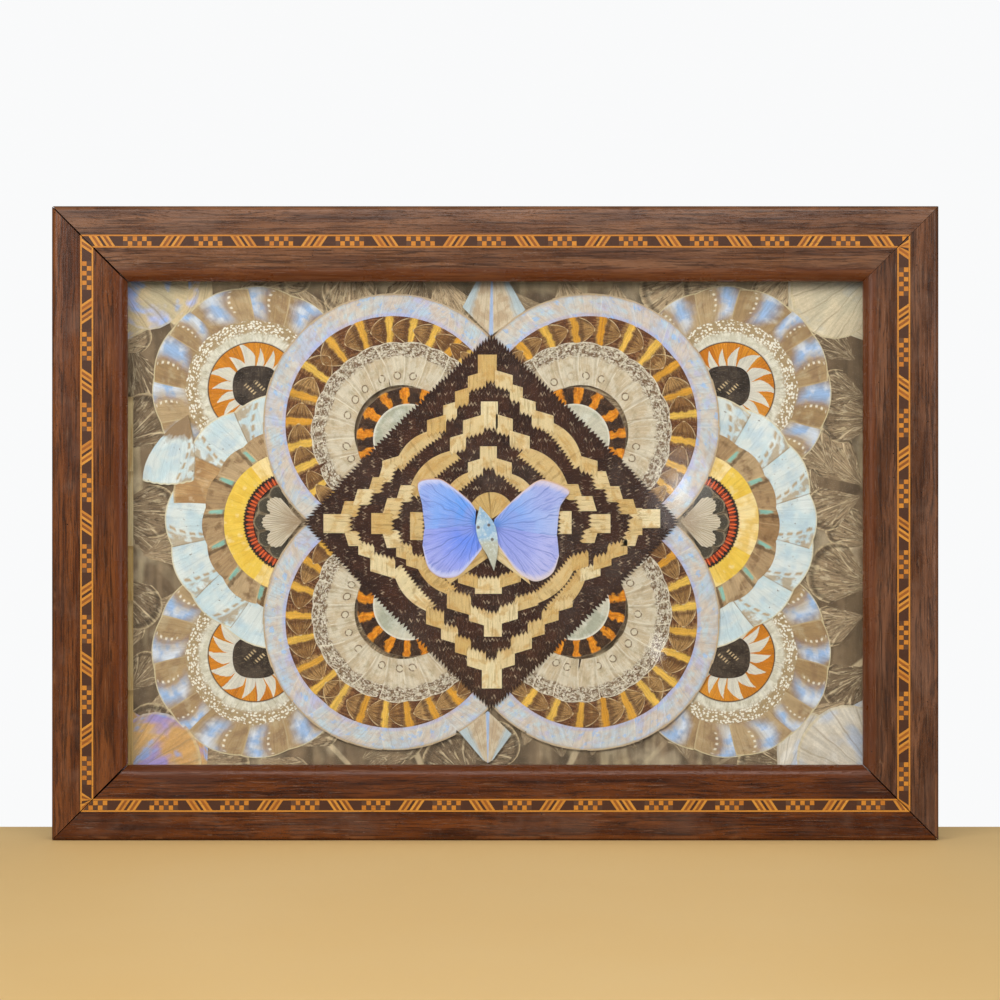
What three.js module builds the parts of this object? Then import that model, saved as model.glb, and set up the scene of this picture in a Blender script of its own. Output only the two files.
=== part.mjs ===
// A framed butterfly-wing picture: an inlaid wooden frame, its glass and backing board,
// and a picture laid from butterfly wings, with one blue butterfly at its middle.
// Millimetres, +Z up. The picture faces -Y, and the origin is the middle of the bottom edge.
import * as THREE from 'three';

// Frame
const frameWidth = 520;
const frameHeight = 372;
const frameDepth = 24;
const railWidth = 44;
const outerRounding = 3.5;
const lipWidth = 6;
const lipDrop = 4.5;
const lipShoulder = 1.5;
const rebateWidth = 6;
const rebateFront = 7;
const fitGap = 0.3;

// Inlaid banding, let into the face of each rail
const bandingOuterEdge = 17;
const bandingWidth = 7.6;
const bandingThickness = 1.2;

// What lies in the rebate, from the front to the back
const glassThickness = 2;
const wingThickness = 0.4;
const boardThickness = 4;

// The picture is laid a little off the middle of the frame
const pictureShift = { x: -2.3, z: 0.6 };
const pictureFront = -frameDepth / 2 + rebateFront + fitGap + glassThickness + fitGap;
const layerPitch = wingThickness + fitGap;
const layers = ['body', 'butterfly', 'bands', 'diamond', 'large', 'side', 'corner', 'ground'];

// Medallions: how far their centres stand from the middle, and which way they face
const largeOffset = 58.1;
const sideOffset = 116.3;
const cornerOffset = { x: 139.8, z: 78.7 };
const cornerFacing = 135.7;
const cornerReach = 8.6;
const tuck = 1.3;

// Diamond of dark wings, with three stepped cream bands on it
const diamondHalf = 111.3;
const diamondTeeth = 18;
const toothDepth = 1.2;
const bandCount = 3;
const bandOuterHalf = 93.5;
const bandSpacing = 23.6;
const bandBreadth = 10.4;
const stepSize = 7.8;

const arcStep = 9;
const rad = THREE.MathUtils.degToRad;

const woodMaterial = { color: 0x5f3822, roughness: 0.42 };
const bandingMaterial = { color: 0x9a6428, roughness: 0.4 };
const glassMaterial = { color: 0xe8efee, roughness: 0.03, transparent: true, opacity: 0.2 };
const boardMaterial = { color: 0x9c7b52, roughness: 0.8 };

function wingMaterial(color, roughness = 0.6) {
  return { color, roughness };
}

const picture = new THREE.Group();
picture.rotation.x = Math.PI / 2;
picture.position.set(pictureShift.x, 0, frameHeight / 2 + pictureShift.z);

const part = new THREE.Group();
part.add(picture);

function makeMesh(name, geometry, look) {
  const mesh = new THREE.Mesh(geometry, new THREE.MeshStandardMaterial(look));
  mesh.name = name;
  return mesh;
}

// A flat sheet cut to an outline, lying on one layer of the picture
function addSheet(name, points, layer, look) {
  const options = { depth: wingThickness, bevelEnabled: false };
  const geometry = new THREE.ExtrudeGeometry(new THREE.Shape(points), options);
  const mesh = makeMesh(name, geometry, look);
  const front = pictureFront + layers.indexOf(layer) * layerPitch;
  mesh.position.z = -(front + wingThickness);
  picture.add(mesh);
}

// Rails and banding

// A bar of the given section, mitred at both ends, along one side of the frame.
// Section points are (distance in from the frame's outer edge, depth).
function mitredBar(section, length, sideDistance) {
  const geometry = new THREE.ExtrudeGeometry(new THREE.Shape(section), { depth: 2, bevelEnabled: false });
  geometry.translate(0, 0, -1);
  geometry.rotateY(-Math.PI / 2);
  const mitreGap = fitGap / Math.SQRT2;
  const corners = geometry.getAttribute('position');
  for (let i = 0; i < corners.count; i += 1) {
    const inward = corners.getZ(i);
    corners.setX(i, Math.sign(corners.getX(i)) * (length / 2 - inward - mitreGap));
    corners.setZ(i, inward - sideDistance);
  }
  geometry.computeVertexNormals();
  return geometry;
}

function railSection() {
  const front = -frameDepth / 2;
  const back = frameDepth / 2;
  const grooveStart = bandingOuterEdge - fitGap;
  const grooveEnd = bandingOuterEdge + bandingWidth + fitGap;
  const grooveFloor = front + bandingThickness + fitGap;
  const rebateStart = railWidth - rebateWidth;
  const lipStart = railWidth - lipWidth;
  const section = [new THREE.Vector2(0, back)];
  for (const turn of [180, 210, 240, 270]) {
    section.push(new THREE.Vector2(
      outerRounding + outerRounding * Math.cos(rad(turn)),
      front + outerRounding + outerRounding * Math.sin(rad(turn)),
    ));
  }
  section.push(new THREE.Vector2(grooveStart, front));
  section.push(new THREE.Vector2(grooveStart, grooveFloor));
  section.push(new THREE.Vector2(grooveEnd, grooveFloor));
  section.push(new THREE.Vector2(grooveEnd, front));
  section.push(new THREE.Vector2(lipStart, front));
  section.push(new THREE.Vector2(lipStart + lipShoulder, front + lipShoulder / 2));
  section.push(new THREE.Vector2(railWidth, front + lipDrop));
  section.push(new THREE.Vector2(railWidth, front + rebateFront));
  section.push(new THREE.Vector2(rebateStart, front + rebateFront));
  section.push(new THREE.Vector2(rebateStart, back));
  return section;
}

function bandingSection() {
  const front = -frameDepth / 2;
  return [
    new THREE.Vector2(bandingOuterEdge, front + bandingThickness),
    new THREE.Vector2(bandingOuterEdge, front),
    new THREE.Vector2(bandingOuterEdge + bandingWidth, front),
    new THREE.Vector2(bandingOuterEdge + bandingWidth, front + bandingThickness),
  ];
}

function addFrame() {
  const sides = [
    { name: 'bottom', turn: 0, length: frameWidth, distance: frameHeight / 2 },
    { name: 'right', turn: -90, length: frameHeight, distance: frameWidth / 2 },
    { name: 'top', turn: 180, length: frameWidth, distance: frameHeight / 2 },
    { name: 'left', turn: 90, length: frameHeight, distance: frameWidth / 2 },
  ];
  const frame = new THREE.Group();
  frame.position.z = frameHeight / 2;
  for (const side of sides) {
    const bar = mitredBar(railSection(), side.length, side.distance);
    const strip = mitredBar(bandingSection(), side.length, side.distance);
    const rail = makeMesh(`rail_${side.name}`, bar, woodMaterial);
    const banding = makeMesh(`banding_${side.name}`, strip, bandingMaterial);
    rail.rotation.y = rad(side.turn);
    banding.rotation.y = rad(side.turn);
    frame.add(rail, banding);
  }
  part.add(frame);
}

// Glass, ground of wings and backing board, which all fill the rebate

function addPane(name, front, thickness, look) {
  const clearance = 2 * (railWidth - rebateWidth + fitGap);
  const geometry = new THREE.BoxGeometry(frameWidth - clearance, thickness, frameHeight - clearance);
  const pane = makeMesh(name, geometry, look);
  pane.position.set(0, front + thickness / 2, frameHeight / 2);
  part.add(pane);
}

function addPanes() {
  const groundFront = pictureFront + layers.indexOf('ground') * layerPitch;
  addPane('glass_pane', -frameDepth / 2 + rebateFront + fitGap, glassThickness, glassMaterial);
  addPane('wing_ground', groundFront, wingThickness, wingMaterial(0x83765f, 0.8));
  addPane('backing_board', groundFront + layerPitch, boardThickness, boardMaterial);
}

// Outlines of rings of wings

function polar(centre, radius, degrees) {
  return new THREE.Vector2(
    centre.x + radius * Math.cos(rad(degrees)),
    centre.y + radius * Math.sin(rad(degrees)),
  );
}

function plainArc(centre, radius, from, to) {
  const count = Math.max(2, Math.ceil(Math.abs(to - from) / arcStep));
  const points = [];
  for (let i = 0; i <= count; i += 1) {
    points.push(polar(centre, radius, from + (to - from) * i / count));
  }
  return points;
}

// An arc of wing tips: each tip bulges out from the notches between it and its neighbours
function scallopedArc(centre, radius, from, to, tips, depth) {
  const perTip = 3;
  const points = [];
  for (let i = 0; i <= tips * perTip; i += 1) {
    const along = (i % perTip) / perTip;
    const bulge = Math.sin(Math.PI * along);
    points.push(polar(centre, radius - depth * (1 - bulge), from + (to - from) * i / (tips * perTip)));
  }
  return points;
}

// An arc of wings that overlap like slates, each one standing out past the next. A wing's
// own edge takes up most of its share of the arc, and the step to the next one the rest.
const slateRun = 0.92;

function slatedArc(centre, radius, from, to, tips, depth) {
  const points = [];
  for (let i = 0; i < tips; i += 1) {
    points.push(polar(centre, radius, from + (to - from) * i / tips));
    points.push(polar(centre, radius - depth, from + (to - from) * (i + slateRun) / tips));
  }
  return points;
}

// An arc cut in teeth, such as a saw-edged wing border
function toothedArc(centre, radius, from, to, teeth, depth) {
  const points = [];
  for (let i = 0; i <= 2 * teeth; i += 1) {
    const inset = i % 2 === 0 ? 0 : depth;
    points.push(polar(centre, radius - inset, from + (to - from) * i / (2 * teeth)));
  }
  return points;
}

const edges = { plain: plainArc, scalloped: scallopedArc, slated: slatedArc, toothed: toothedArc };

// Half the stretch of arc that a ring has at some radius: a fixed angle, or up to a straight
// line that stands `reach` behind the ring's centre
function spread(ring, radius) {
  return ring.halfAngle ?? 90 + THREE.MathUtils.radToDeg(Math.asin(ring.reach / radius));
}

// A ring that faces one way, with the next ring in, or nothing, in its hole
function ringOutline(ring, next, facing) {
  const half = spread(ring, ring.radius);
  const makeEdge = edges[ring.edge ?? 'plain'];
  const outline = makeEdge(ring.centre, ring.radius, facing - half, facing + half, ring.tips, ring.depth);
  if (next) {
    const radius = next.radius + fitGap;
    const holeHalf = ring.halfAngle ?? spread(next, radius);
    outline.push(...plainArc(next.centre, radius, facing + holeHalf, facing - holeHalf));
  }
  return outline;
}

function addRings(prefix, rings, facing, layer) {
  rings.forEach((ring, i) => {
    const outline = ringOutline(ring, rings[i + 1], facing);
    addSheet(`${prefix}_${ring.name}`, outline, layer, wingMaterial(ring.color));
  });
}

// Four large medallions, whose straight ends run just under the diamond

// Each ring's outer circle, and how far its centre is shifted towards the diamond
const largeRings = [
  { name: 'pale_ring', radius: 76.9, shift: 0, edge: 'slated', tips: 15, depth: 1, color: 0xc5d3e6 },
  { name: 'tawny_ring', radius: 63.1, shift: 0, edge: 'slated', tips: 12, depth: 1.8, color: 0x966c3d },
  { name: 'mottled_ring', radius: 53.6, shift: 7.5, edge: 'scalloped', tips: 15, depth: 1, color: 0xc9bda6 },
  { name: 'tiger_ring', radius: 30.7, shift: 12.9, color: 0x4a2c18 },
  { name: 'pearl_disc', radius: 20.8, shift: 12.9, color: 0xc9c8b6 },
];

function addLargeMedallions() {
  const corners = [
    { name: 'top_left', x: -1, y: 1 },
    { name: 'top_right', x: 1, y: 1 },
    { name: 'bottom_left', x: -1, y: -1 },
    { name: 'bottom_right', x: 1, y: -1 },
  ];
  const standOff = (2 * largeOffset - diamondHalf) / Math.SQRT2;
  for (const corner of corners) {
    const facing = THREE.MathUtils.radToDeg(Math.atan2(corner.y, corner.x));
    const rings = largeRings.map((ring) => {
      const offset = largeOffset - ring.shift / Math.SQRT2;
      const centre = new THREE.Vector2(corner.x * offset, corner.y * offset);
      return { ...ring, centre, reach: standOff - ring.shift + tuck };
    });
    addRings(corner.name, rings, facing, 'large');
  }
}

// Two side medallions, half hidden under the large ones

const sideRings = [
  { name: 'pale_ring', radius: 76.4, halfAngle: 86, edge: 'scalloped', tips: 9, depth: 2.4, color: 0xcfe3ea },
  { name: 'tan_ring', radius: 54.7, halfAngle: 78, edge: 'scalloped', tips: 8, depth: 1.5, color: 0xb08c5e },
  { name: 'yellow_crescent', radius: 41.7, halfAngle: 74, color: 0xf0c34e },
  { name: 'ribbed_fan', radius: 24.1, reach: 6.5, edge: 'toothed', tips: 9, depth: 1, color: 0x8f7a60 },
];

function addSideMedallions() {
  for (const side of [{ name: 'left', sign: -1, facing: 180 }, { name: 'right', sign: 1, facing: 0 }]) {
    const centre = new THREE.Vector2(side.sign * sideOffset, 0);
    const rings = sideRings.map((ring) => ({ ...ring, centre }));
    addRings(`side_${side.name}`, rings, side.facing, 'side');
  }
}

// Four corner medallions, under the side and large ones

const cornerRings = [
  { name: 'wing_ring', radius: 61, edge: 'scalloped', tips: 9, depth: 2.2, color: 0xb09670 },
  { name: 'speckled_ring', radius: 41, edge: 'scalloped', tips: 12, depth: 1.1, color: 0xdcd6c2 },
  { name: 'dark_heart', radius: 27.6, edge: 'toothed', tips: 11, depth: 1.4, color: 0x5a4030 },
];

function addCornerMedallions() {
  for (const vertical of [{ name: 'top', sign: 1 }, { name: 'bottom', sign: -1 }]) {
    for (const side of [{ name: 'left', sign: -1 }, { name: 'right', sign: 1 }]) {
      const centre = new THREE.Vector2(side.sign * cornerOffset.x, vertical.sign * cornerOffset.z);
      const upward = side.sign < 0 ? cornerFacing : 180 - cornerFacing;
      const rings = cornerRings.map((ring) => ({ ...ring, centre, reach: cornerReach }));
      addRings(`corner_${vertical.name}_${side.name}`, rings, vertical.sign * upward, 'corner');
    }
  }
}

// The diamond

function diamondCorner(half, quarter) {
  return polar(new THREE.Vector2(0, 0), half, 90 * quarter);
}

// A square on its corner, with saw teeth along its four edges
function toothedDiamond(half) {
  const points = [];
  for (let quarter = 0; quarter < 4; quarter += 1) {
    const start = diamondCorner(half, quarter);
    const end = diamondCorner(half, quarter + 1);
    const inward = start.clone().add(end).multiplyScalar(-1).normalize();
    for (let tooth = 0; tooth < diamondTeeth; tooth += 1) {
      points.push(start.clone().lerp(end, tooth / diamondTeeth));
      const notch = start.clone().lerp(end, (tooth + 0.5) / diamondTeeth);
      points.push(notch.addScaledVector(inward, toothDepth));
    }
  }
  return points;
}

// A square on its corner whose edges climb in steps, as rows of wing blocks do
function steppedDiamond(half) {
  const steps = Math.round(half / stepSize - 0.5);
  const step = half / (steps + 0.5);
  const middle = new THREE.Vector2(0, 0);
  const points = [];
  for (let quarter = 0; quarter < 4; quarter += 1) {
    const turn = quarter * Math.PI / 2;
    for (let i = 0; i <= steps; i += 1) {
      const height = (i + 0.5) * step;
      points.push(new THREE.Vector2(half - i * step, height).rotateAround(middle, turn));
      if (i < steps) {
        points.push(new THREE.Vector2(half - (i + 1) * step, height).rotateAround(middle, turn));
      }
    }
  }
  return points;
}

function addBand(name, half) {
  const shape = new THREE.Shape(steppedDiamond(half));
  shape.holes.push(new THREE.Path(steppedDiamond(half - bandBreadth)));
  const geometry = new THREE.ExtrudeGeometry(shape, { depth: wingThickness, bevelEnabled: false });
  const mesh = makeMesh(name, geometry, wingMaterial(0xe6cf98));
  mesh.position.z = -(pictureFront + layers.indexOf('bands') * layerPitch + wingThickness);
  picture.add(mesh);
}

function addDiamond() {
  addSheet('diamond_sheet', toothedDiamond(diamondHalf), 'diamond', wingMaterial(0x3d271d));
  const names = ['outer', 'middle', 'inner'];
  for (let i = 0; i < bandCount; i += 1) {
    addBand(`cream_band_${names[i]}`, bandOuterHalf - i * bandSpacing);
  }
}

// The blue butterfly: four wings and a pale slip of wing for its body

// Points are millimetres right of and above the middle of the picture.
const wingCurvePoints = 26;
const butterflyPieces = [
  {
    name: 'left_forewing',
    root: [[-39.1, -4.4], [-9.6, -1.6]],
    rim: [[-9.1, 7], [-13.2, 12.9], [-25.5, 22.9], [-32.6, 25.8], [-43.2, 23.5], [-41, 12]],
  },
  {
    name: 'left_hindwing',
    root: [[-9.4, -2.6], [-39.3, -5.6]],
    rim: [[-40.6, -14], [-37.9, -25.3], [-33.8, -30.5], [-27.3, -32.9], [-18, -30.5], [-9.1, -18.2]],
  },
  {
    name: 'right_forewing',
    root: [[4.2, -2.4], [38.5, -8.6]],
    rim: [[39.4, 2], [41.4, 11.7], [46.1, 18.8], [33.2, 24.7], [25.5, 23.5], [12, 12.3], [6.2, 5.3]],
  },
  {
    name: 'right_hindwing',
    root: [[39, -10], [4.4, -3.6]],
    rim: [[5, -11.7], [13.8, -27.6], [20.3, -32.9], [27.5, -34.9], [36.1, -30], [39.9, -20]],
  },
  {
    name: 'body',
    root: [],
    rim: [[-6.8, 9.4], [-9.1, -1.8], [-7.3, -11.2], [1.5, -28.8], [3.8, -11.2], [1.5, -0.6]],
  },
];

function toVectors(pairs) {
  return pairs.map(([x, y]) => new THREE.Vector2(x, y));
}

function addButterfly() {
  for (const piece of butterflyPieces) {
    const isBody = piece.root.length === 0;
    const rim = toVectors(piece.rim);
    const outline = isBody ? rim : new THREE.SplineCurve(rim).getSpacedPoints(wingCurvePoints);
    const look = wingMaterial(isBody ? 0xc3d5de : 0x6f92ec, 0.35);
    const points = [...toVectors(piece.root), ...outline];
    addSheet(`butterfly_${piece.name}`, points, isBody ? 'body' : 'butterfly', look);
  }
}

addFrame();
addPanes();
addLargeMedallions();
addSideMedallions();
addCornerMedallions();
addDiamond();
addButterfly();

export default part;
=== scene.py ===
import math
import random

import bmesh
import bpy
from mathutils import Matrix, Vector


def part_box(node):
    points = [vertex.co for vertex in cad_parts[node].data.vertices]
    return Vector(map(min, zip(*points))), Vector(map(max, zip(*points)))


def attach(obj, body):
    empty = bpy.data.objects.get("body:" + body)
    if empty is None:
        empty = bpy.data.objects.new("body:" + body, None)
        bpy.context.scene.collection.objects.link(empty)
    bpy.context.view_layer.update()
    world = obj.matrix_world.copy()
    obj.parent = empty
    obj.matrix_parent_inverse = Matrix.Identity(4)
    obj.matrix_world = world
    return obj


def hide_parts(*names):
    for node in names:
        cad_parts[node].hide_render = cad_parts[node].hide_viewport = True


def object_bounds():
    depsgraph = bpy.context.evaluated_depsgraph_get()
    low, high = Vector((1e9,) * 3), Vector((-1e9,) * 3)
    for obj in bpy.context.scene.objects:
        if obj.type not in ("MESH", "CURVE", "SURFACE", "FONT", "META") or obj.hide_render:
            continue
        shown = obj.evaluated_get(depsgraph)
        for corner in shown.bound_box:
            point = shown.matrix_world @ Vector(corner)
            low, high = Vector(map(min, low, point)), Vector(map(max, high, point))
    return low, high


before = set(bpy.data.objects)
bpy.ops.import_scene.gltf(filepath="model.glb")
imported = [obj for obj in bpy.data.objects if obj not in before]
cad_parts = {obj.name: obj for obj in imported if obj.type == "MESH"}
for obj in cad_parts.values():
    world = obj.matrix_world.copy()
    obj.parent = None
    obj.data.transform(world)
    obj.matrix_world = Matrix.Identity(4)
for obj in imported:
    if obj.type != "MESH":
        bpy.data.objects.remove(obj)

cad_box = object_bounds()
MM = 0.001


def mm_box(node):
    """A node's lowest and highest corners, in millimetres."""
    return [[value / MM for value in corner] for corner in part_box(node)]


# Frame, measured from the solids
FRAME_WIDTH, _, FRAME_HEIGHT = [(high - low) / MM for low, high in zip(*cad_box)]
RAIL_WIDTH = mm_box("rail_bottom")[1][2]
FACE_Y = mm_box("rail_bottom")[0][1]
BACK_Y = mm_box("rail_bottom")[1][1]
BANDING_START = mm_box("banding_bottom")[0][2]
BANDING_END = mm_box("banding_bottom")[1][2]
BANDING_BACK_Y = mm_box("banding_bottom")[1][1]
GLASS_FRONT_Y = mm_box("glass_pane")[0][1]
BOARD_BOX = mm_box("backing_board")
GROUND_BOX = mm_box("wing_ground")
FIT_GAP = 0.3
REBATE_START = BOARD_BOX[0][2] - FIT_GAP
LIP_WIDTH = 6.0
LIP_DROP = 4.5
OUTER_ROUNDING = 3.5

# The picture: its middle is the diamond's, a little off the frame's own
DIAMOND_BOX = mm_box("diamond_sheet")
MIDDLE_X = (DIAMOND_BOX[0][0] + DIAMOND_BOX[1][0]) / 2
MIDDLE_Z = (DIAMOND_BOX[0][2] + DIAMOND_BOX[1][2]) / 2
DIAMOND_HALF = (DIAMOND_BOX[1][0] - DIAMOND_BOX[0][0]) / 2
LAYER_NODES = {
    "ground": "wing_ground",
    "corner": "corner_top_left_wing_ring",
    "side": "side_left_pale_ring",
    "large": "top_left_pale_ring",
    "diamond": "diamond_sheet",
    "bands": "cream_band_outer",
    "butterfly": "butterfly_left_forewing",
    "body": "butterfly_body",
}
LAYER_Y = {layer: mm_box(node)[0][1] for layer, node in LAYER_NODES.items()}
SHEET = 0.12
RING_FLOOR = -0.5
RING_STEP = 0.15
OVERLAP_RISE = 0.11
TIP_START, TIP_LENGTH = 0.56, 0.445

# The photograph's scale, to place a point of it on the picture
MM_PER_PX = 0.5873
MIDDLE_PX = (491.5, 521.0)
FRAME_MIDDLE_PX = (495.25, 523.15)


def polar(reach, angle):
    """Right and up to a point at some distance, at an angle in degrees."""
    turn = math.radians(angle)
    return reach * math.cos(turn), reach * math.sin(turn)


def px(x, y):
    """A point of the photograph, as millimetres right of and above the picture's middle."""
    return (x - MIDDLE_PX[0]) * MM_PER_PX, (MIDDLE_PX[1] - y) * MM_PER_PX


# Camera, stage and lights

CAMERA_DISTANCE = 1620.0
IMAGE_PX = 1000.0
LENS_TRIM = 1.003
FLOOR_BACK_Y = 58.0
FLOOR_SIZE = (3.0, 2.4, 0.03)


def make_camera():
    """Straight on, a little above the frame's middle, as the photograph was taken."""
    data = bpy.data.cameras.new("camera")
    data.sensor_width = 36.0
    data.lens = LENS_TRIM * data.sensor_width * CAMERA_DISTANCE / (IMAGE_PX * MM_PER_PX)
    data.clip_end = 20.0
    camera = bpy.data.objects.new("camera", data)
    bpy.context.scene.collection.objects.link(camera)
    right = (IMAGE_PX / 2 - FRAME_MIDDLE_PX[0]) * MM_PER_PX
    up = FRAME_HEIGHT / 2 + (FRAME_MIDDLE_PX[1] - IMAGE_PX / 2) * MM_PER_PX
    camera.location = Vector((right, FACE_Y - CAMERA_DISTANCE, up)) * MM
    camera.rotation_euler = (math.radians(90), 0, 0)
    bpy.context.scene.camera = camera


def make_floor():
    """A plain pale table top, whose back edge shows behind the frame."""
    bm = bmesh.new()
    bmesh.ops.create_cube(bm, size=1.0)
    bmesh.ops.scale(bm, vec=FLOOR_SIZE, verts=bm.verts)
    middle = (0, FLOOR_BACK_Y * MM - FLOOR_SIZE[1] / 2, -FLOOR_SIZE[2] / 2)
    bmesh.ops.translate(bm, vec=middle, verts=bm.verts)
    mesh = bpy.data.meshes.new("floor")
    bm.to_mesh(mesh)
    bm.free()
    floor = bpy.data.objects.new("floor", mesh)
    bpy.context.scene.collection.objects.link(floor)
    mesh.materials.append(new_surface("pale_floor", paint_floor, roughness=0.55))


# What the glass mirrors: a name, its place in the photograph, size in metres and power
GLARE_BEHIND_LENS = 0.05
GLARES = (
    ("glare_wide", (684, 490), (0.075, 0.105), 0.02),
    ("glare_soft", (684, 490), (0.05, 0.07), 0.016),
    ("glare_core", (682, 486), (0.022, 0.034), 0.006),
    ("glare_spot", (660, 650), (0.018, 0.034), 0.004),
    ("glare_edge", (768, 430), (0.03, 0.04), 0.003),
    ("glare_low", (822, 750), (0.04, 0.03), 0.003),
)


def add_area_light(name, place, aim, size, power, tint=(1, 1, 1), shape="RECTANGLE"):
    data = bpy.data.lights.new(name, "AREA")
    data.shape = shape
    data.size, data.size_y = size
    data.energy = power
    data.color = tint
    light = bpy.data.objects.new(name, data)
    light.location = place
    light.rotation_euler = (Vector(aim) - Vector(place)).to_track_quat("-Z", "Y").to_euler()
    bpy.context.scene.collection.objects.link(light)


def make_lights():
    """A bright room: a wide window at the left, a soft ceiling, a little fill and a glare."""
    middle = (0, 0, 0.19)
    add_area_light("window", (-1.4, -2.0, 1.15), middle, (1.4, 1.2), 23, (1.0, 0.98, 0.94))
    add_area_light("ceiling", (0.3, -2.1, 1.6), middle, (1.8, 1.4), 21, (1.0, 0.98, 0.95))
    add_area_light("fill", (1.7, -1.7, 0.5), middle, (1.2, 1.2), 7, (0.97, 0.98, 1.0))
    lens = bpy.context.scene.camera.location
    for name, spot, size, power in GLARES:
        right, up = px(*spot)
        place = Vector((MIDDLE_X + right, 0, MIDDLE_Z + up)) * MM
        mirrored = (2 * place.x - lens.x, lens.y - GLARE_BEHIND_LENS, 2 * place.z - lens.z)
        add_area_light(name, mirrored, place, size, power, shape="ELLIPSE")
    world = bpy.data.worlds.new("studio")
    world.use_nodes = True
    nodes = Nodes(world.node_tree)
    path = nodes.add("ShaderNodeLightPath").outputs
    dim = nodes.add("ShaderNodeMapRange", {0: path["Is Glossy Ray"], 3: 0.42, 4: 0.07}).outputs[0]
    strength = nodes.add("ShaderNodeMapRange", {0: path["Is Camera Ray"], 3: dim, 4: 1.0}).outputs[0]
    background = world.node_tree.nodes["Background"]
    background.inputs["Color"].default_value = (0.95, 0.955, 0.96, 1.0)
    nodes.feed(background.inputs["Strength"], strength)
    bpy.context.scene.world = world
    bpy.context.scene.view_settings.view_transform = "Standard"


# Shader nodes


def colour(text):
    """A colour written as six hex digits of sRGB, as the linear values that nodes take."""
    parts = [int(text[i:i + 2], 16) / 255 for i in (0, 2, 4)]
    linear = [c / 12.92 if c <= 0.04045 else ((c + 0.055) / 1.055) ** 2.4 for c in parts]
    return (*linear, 1.0)


class Nodes:
    """Short calls that add nodes to one tree."""

    def __init__(self, tree):
        self.tree = tree

    def feed(self, socket, value):
        if isinstance(value, bpy.types.NodeSocket):
            self.tree.links.new(value, socket)
        else:
            socket.default_value = value

    def add(self, kind, inputs=None, **settings):
        node = self.tree.nodes.new(kind)
        for name, value in settings.items():
            setattr(node, name, value)
        for name, value in (inputs or {}).items():
            self.feed(node.inputs[name], value)
        return node

    def math(self, operation, a, b=0.0, c=0.0):
        return self.add("ShaderNodeMath", {0: a, 1: b, 2: c}, operation=operation).outputs[0]

    def times(self, a, b):
        return self.math("MULTIPLY", a, b)

    def plus(self, a, b):
        return self.math("ADD", a, b)

    def minus(self, a, b):
        return self.math("SUBTRACT", a, b)

    def scaled(self, value, factor, start):
        """A value times a factor, added to a start."""
        return self.math("MULTIPLY_ADD", value, factor, start)

    def apart(self, a, b):
        """How far two values are from one another."""
        return self.math("ABSOLUTE", self.minus(a, b))

    def waves(self, value, rate):
        return self.math("SINE", self.times(value, rate))

    def length(self, a, b):
        """The length of a line that runs a one way and b the other."""
        return self.math("SQRT", self.plus(self.times(a, a), self.times(b, b)))

    def mix(self, factor, a, b, blend="MIX"):
        inputs = {0: factor, 6: a, 7: b}
        return self.add("ShaderNodeMix", inputs, data_type="RGBA", blend_type=blend).outputs[2]

    def between(self, factor, low, high):
        """From one colour to another, both written as text."""
        return self.mix(factor, colour(low), colour(high))

    def over(self, base, mask, text):
        """The base with a colour laid over it where the mask is."""
        return self.mix(mask, base, colour(text))

    def coats(self, base, layers):
        """The base with several colours laid over it in turn, each where its mask is."""
        for mask, text in layers:
            base = self.over(base, mask, text)
        return base

    def step(self, value, low, high, start=0.0, end=1.0):
        """start where value is low and end where it is high, with a smooth change between."""
        inputs = {0: value, 1: low, 2: high, 3: start, 4: end}
        return self.add("ShaderNodeMapRange", inputs, interpolation_type="SMOOTHSTEP").outputs[0]

    def noise(self, vector, scale, detail=3.0, roughness=0.55, distortion=0.0):
        inputs = {"Vector": vector, "Scale": scale, "Detail": detail, "Roughness": roughness}
        inputs["Distortion"] = distortion
        return self.add("ShaderNodeTexNoise", inputs).outputs[0]

    def cells(self, vector, scale, randomness=1.0):
        """How far a place is from the middle of its cell."""
        inputs = {"Vector": vector, "Scale": scale, "Randomness": randomness}
        return self.add("ShaderNodeTexVoronoi", inputs).outputs["Distance"]

    def vector(self, x, y, z=0.0):
        return self.add("ShaderNodeCombineXYZ", {0: x, 1: y, 2: z}).outputs[0]

    def split(self, vector):
        return self.add("ShaderNodeSeparateXYZ", {0: vector}).outputs

    def mapping(self, vector, scale=(1, 1, 1), turn=(0, 0, 0), shift=(0, 0, 0)):
        inputs = {"Vector": vector, "Location": shift, "Rotation": turn, "Scale": scale}
        return self.add("ShaderNodeMapping", inputs).outputs[0]

    def object_mm(self):
        """Object coordinates, in millimetres."""
        place = self.add("ShaderNodeTexCoord").outputs["Object"]
        return self.mapping(place, scale=(1 / MM, 1 / MM, 1 / MM))

    def uv(self, name):
        return self.add("ShaderNodeUVMap", uv_map=name).outputs[0]

    def use(self, group, inputs):
        node = self.tree.nodes.new("ShaderNodeGroup")
        node.node_tree = bpy.data.node_groups[group]
        for label, value in inputs.items():
            self.feed(node.inputs[label], value)
        return node.outputs


SOCKET_KINDS = {float: "NodeSocketFloat", tuple: "NodeSocketColor", type(None): "NodeSocketVector"}


def make_group(name, inputs, fill):
    """A shader node group with named inputs. fill makes its nodes and names its outputs."""
    tree = bpy.data.node_groups.new(name, "ShaderNodeTree")
    for label, default in inputs.items():
        kind = SOCKET_KINDS[type(default)]
        socket = tree.interface.new_socket(name=label, in_out="INPUT", socket_type=kind)
        if default is not None:
            socket.default_value = default
    made = fill(Nodes(tree), tree.nodes.new("NodeGroupInput").outputs)
    for label, source in made.items():
        kind = "NodeSocketColor" if source.type == "RGBA" else "NodeSocketFloat"
        tree.interface.new_socket(name=label, in_out="OUTPUT", socket_type=kind)
    end = tree.nodes.new("NodeGroupOutput")
    for label, source in made.items():
        tree.links.new(source, end.inputs[label])


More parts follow.
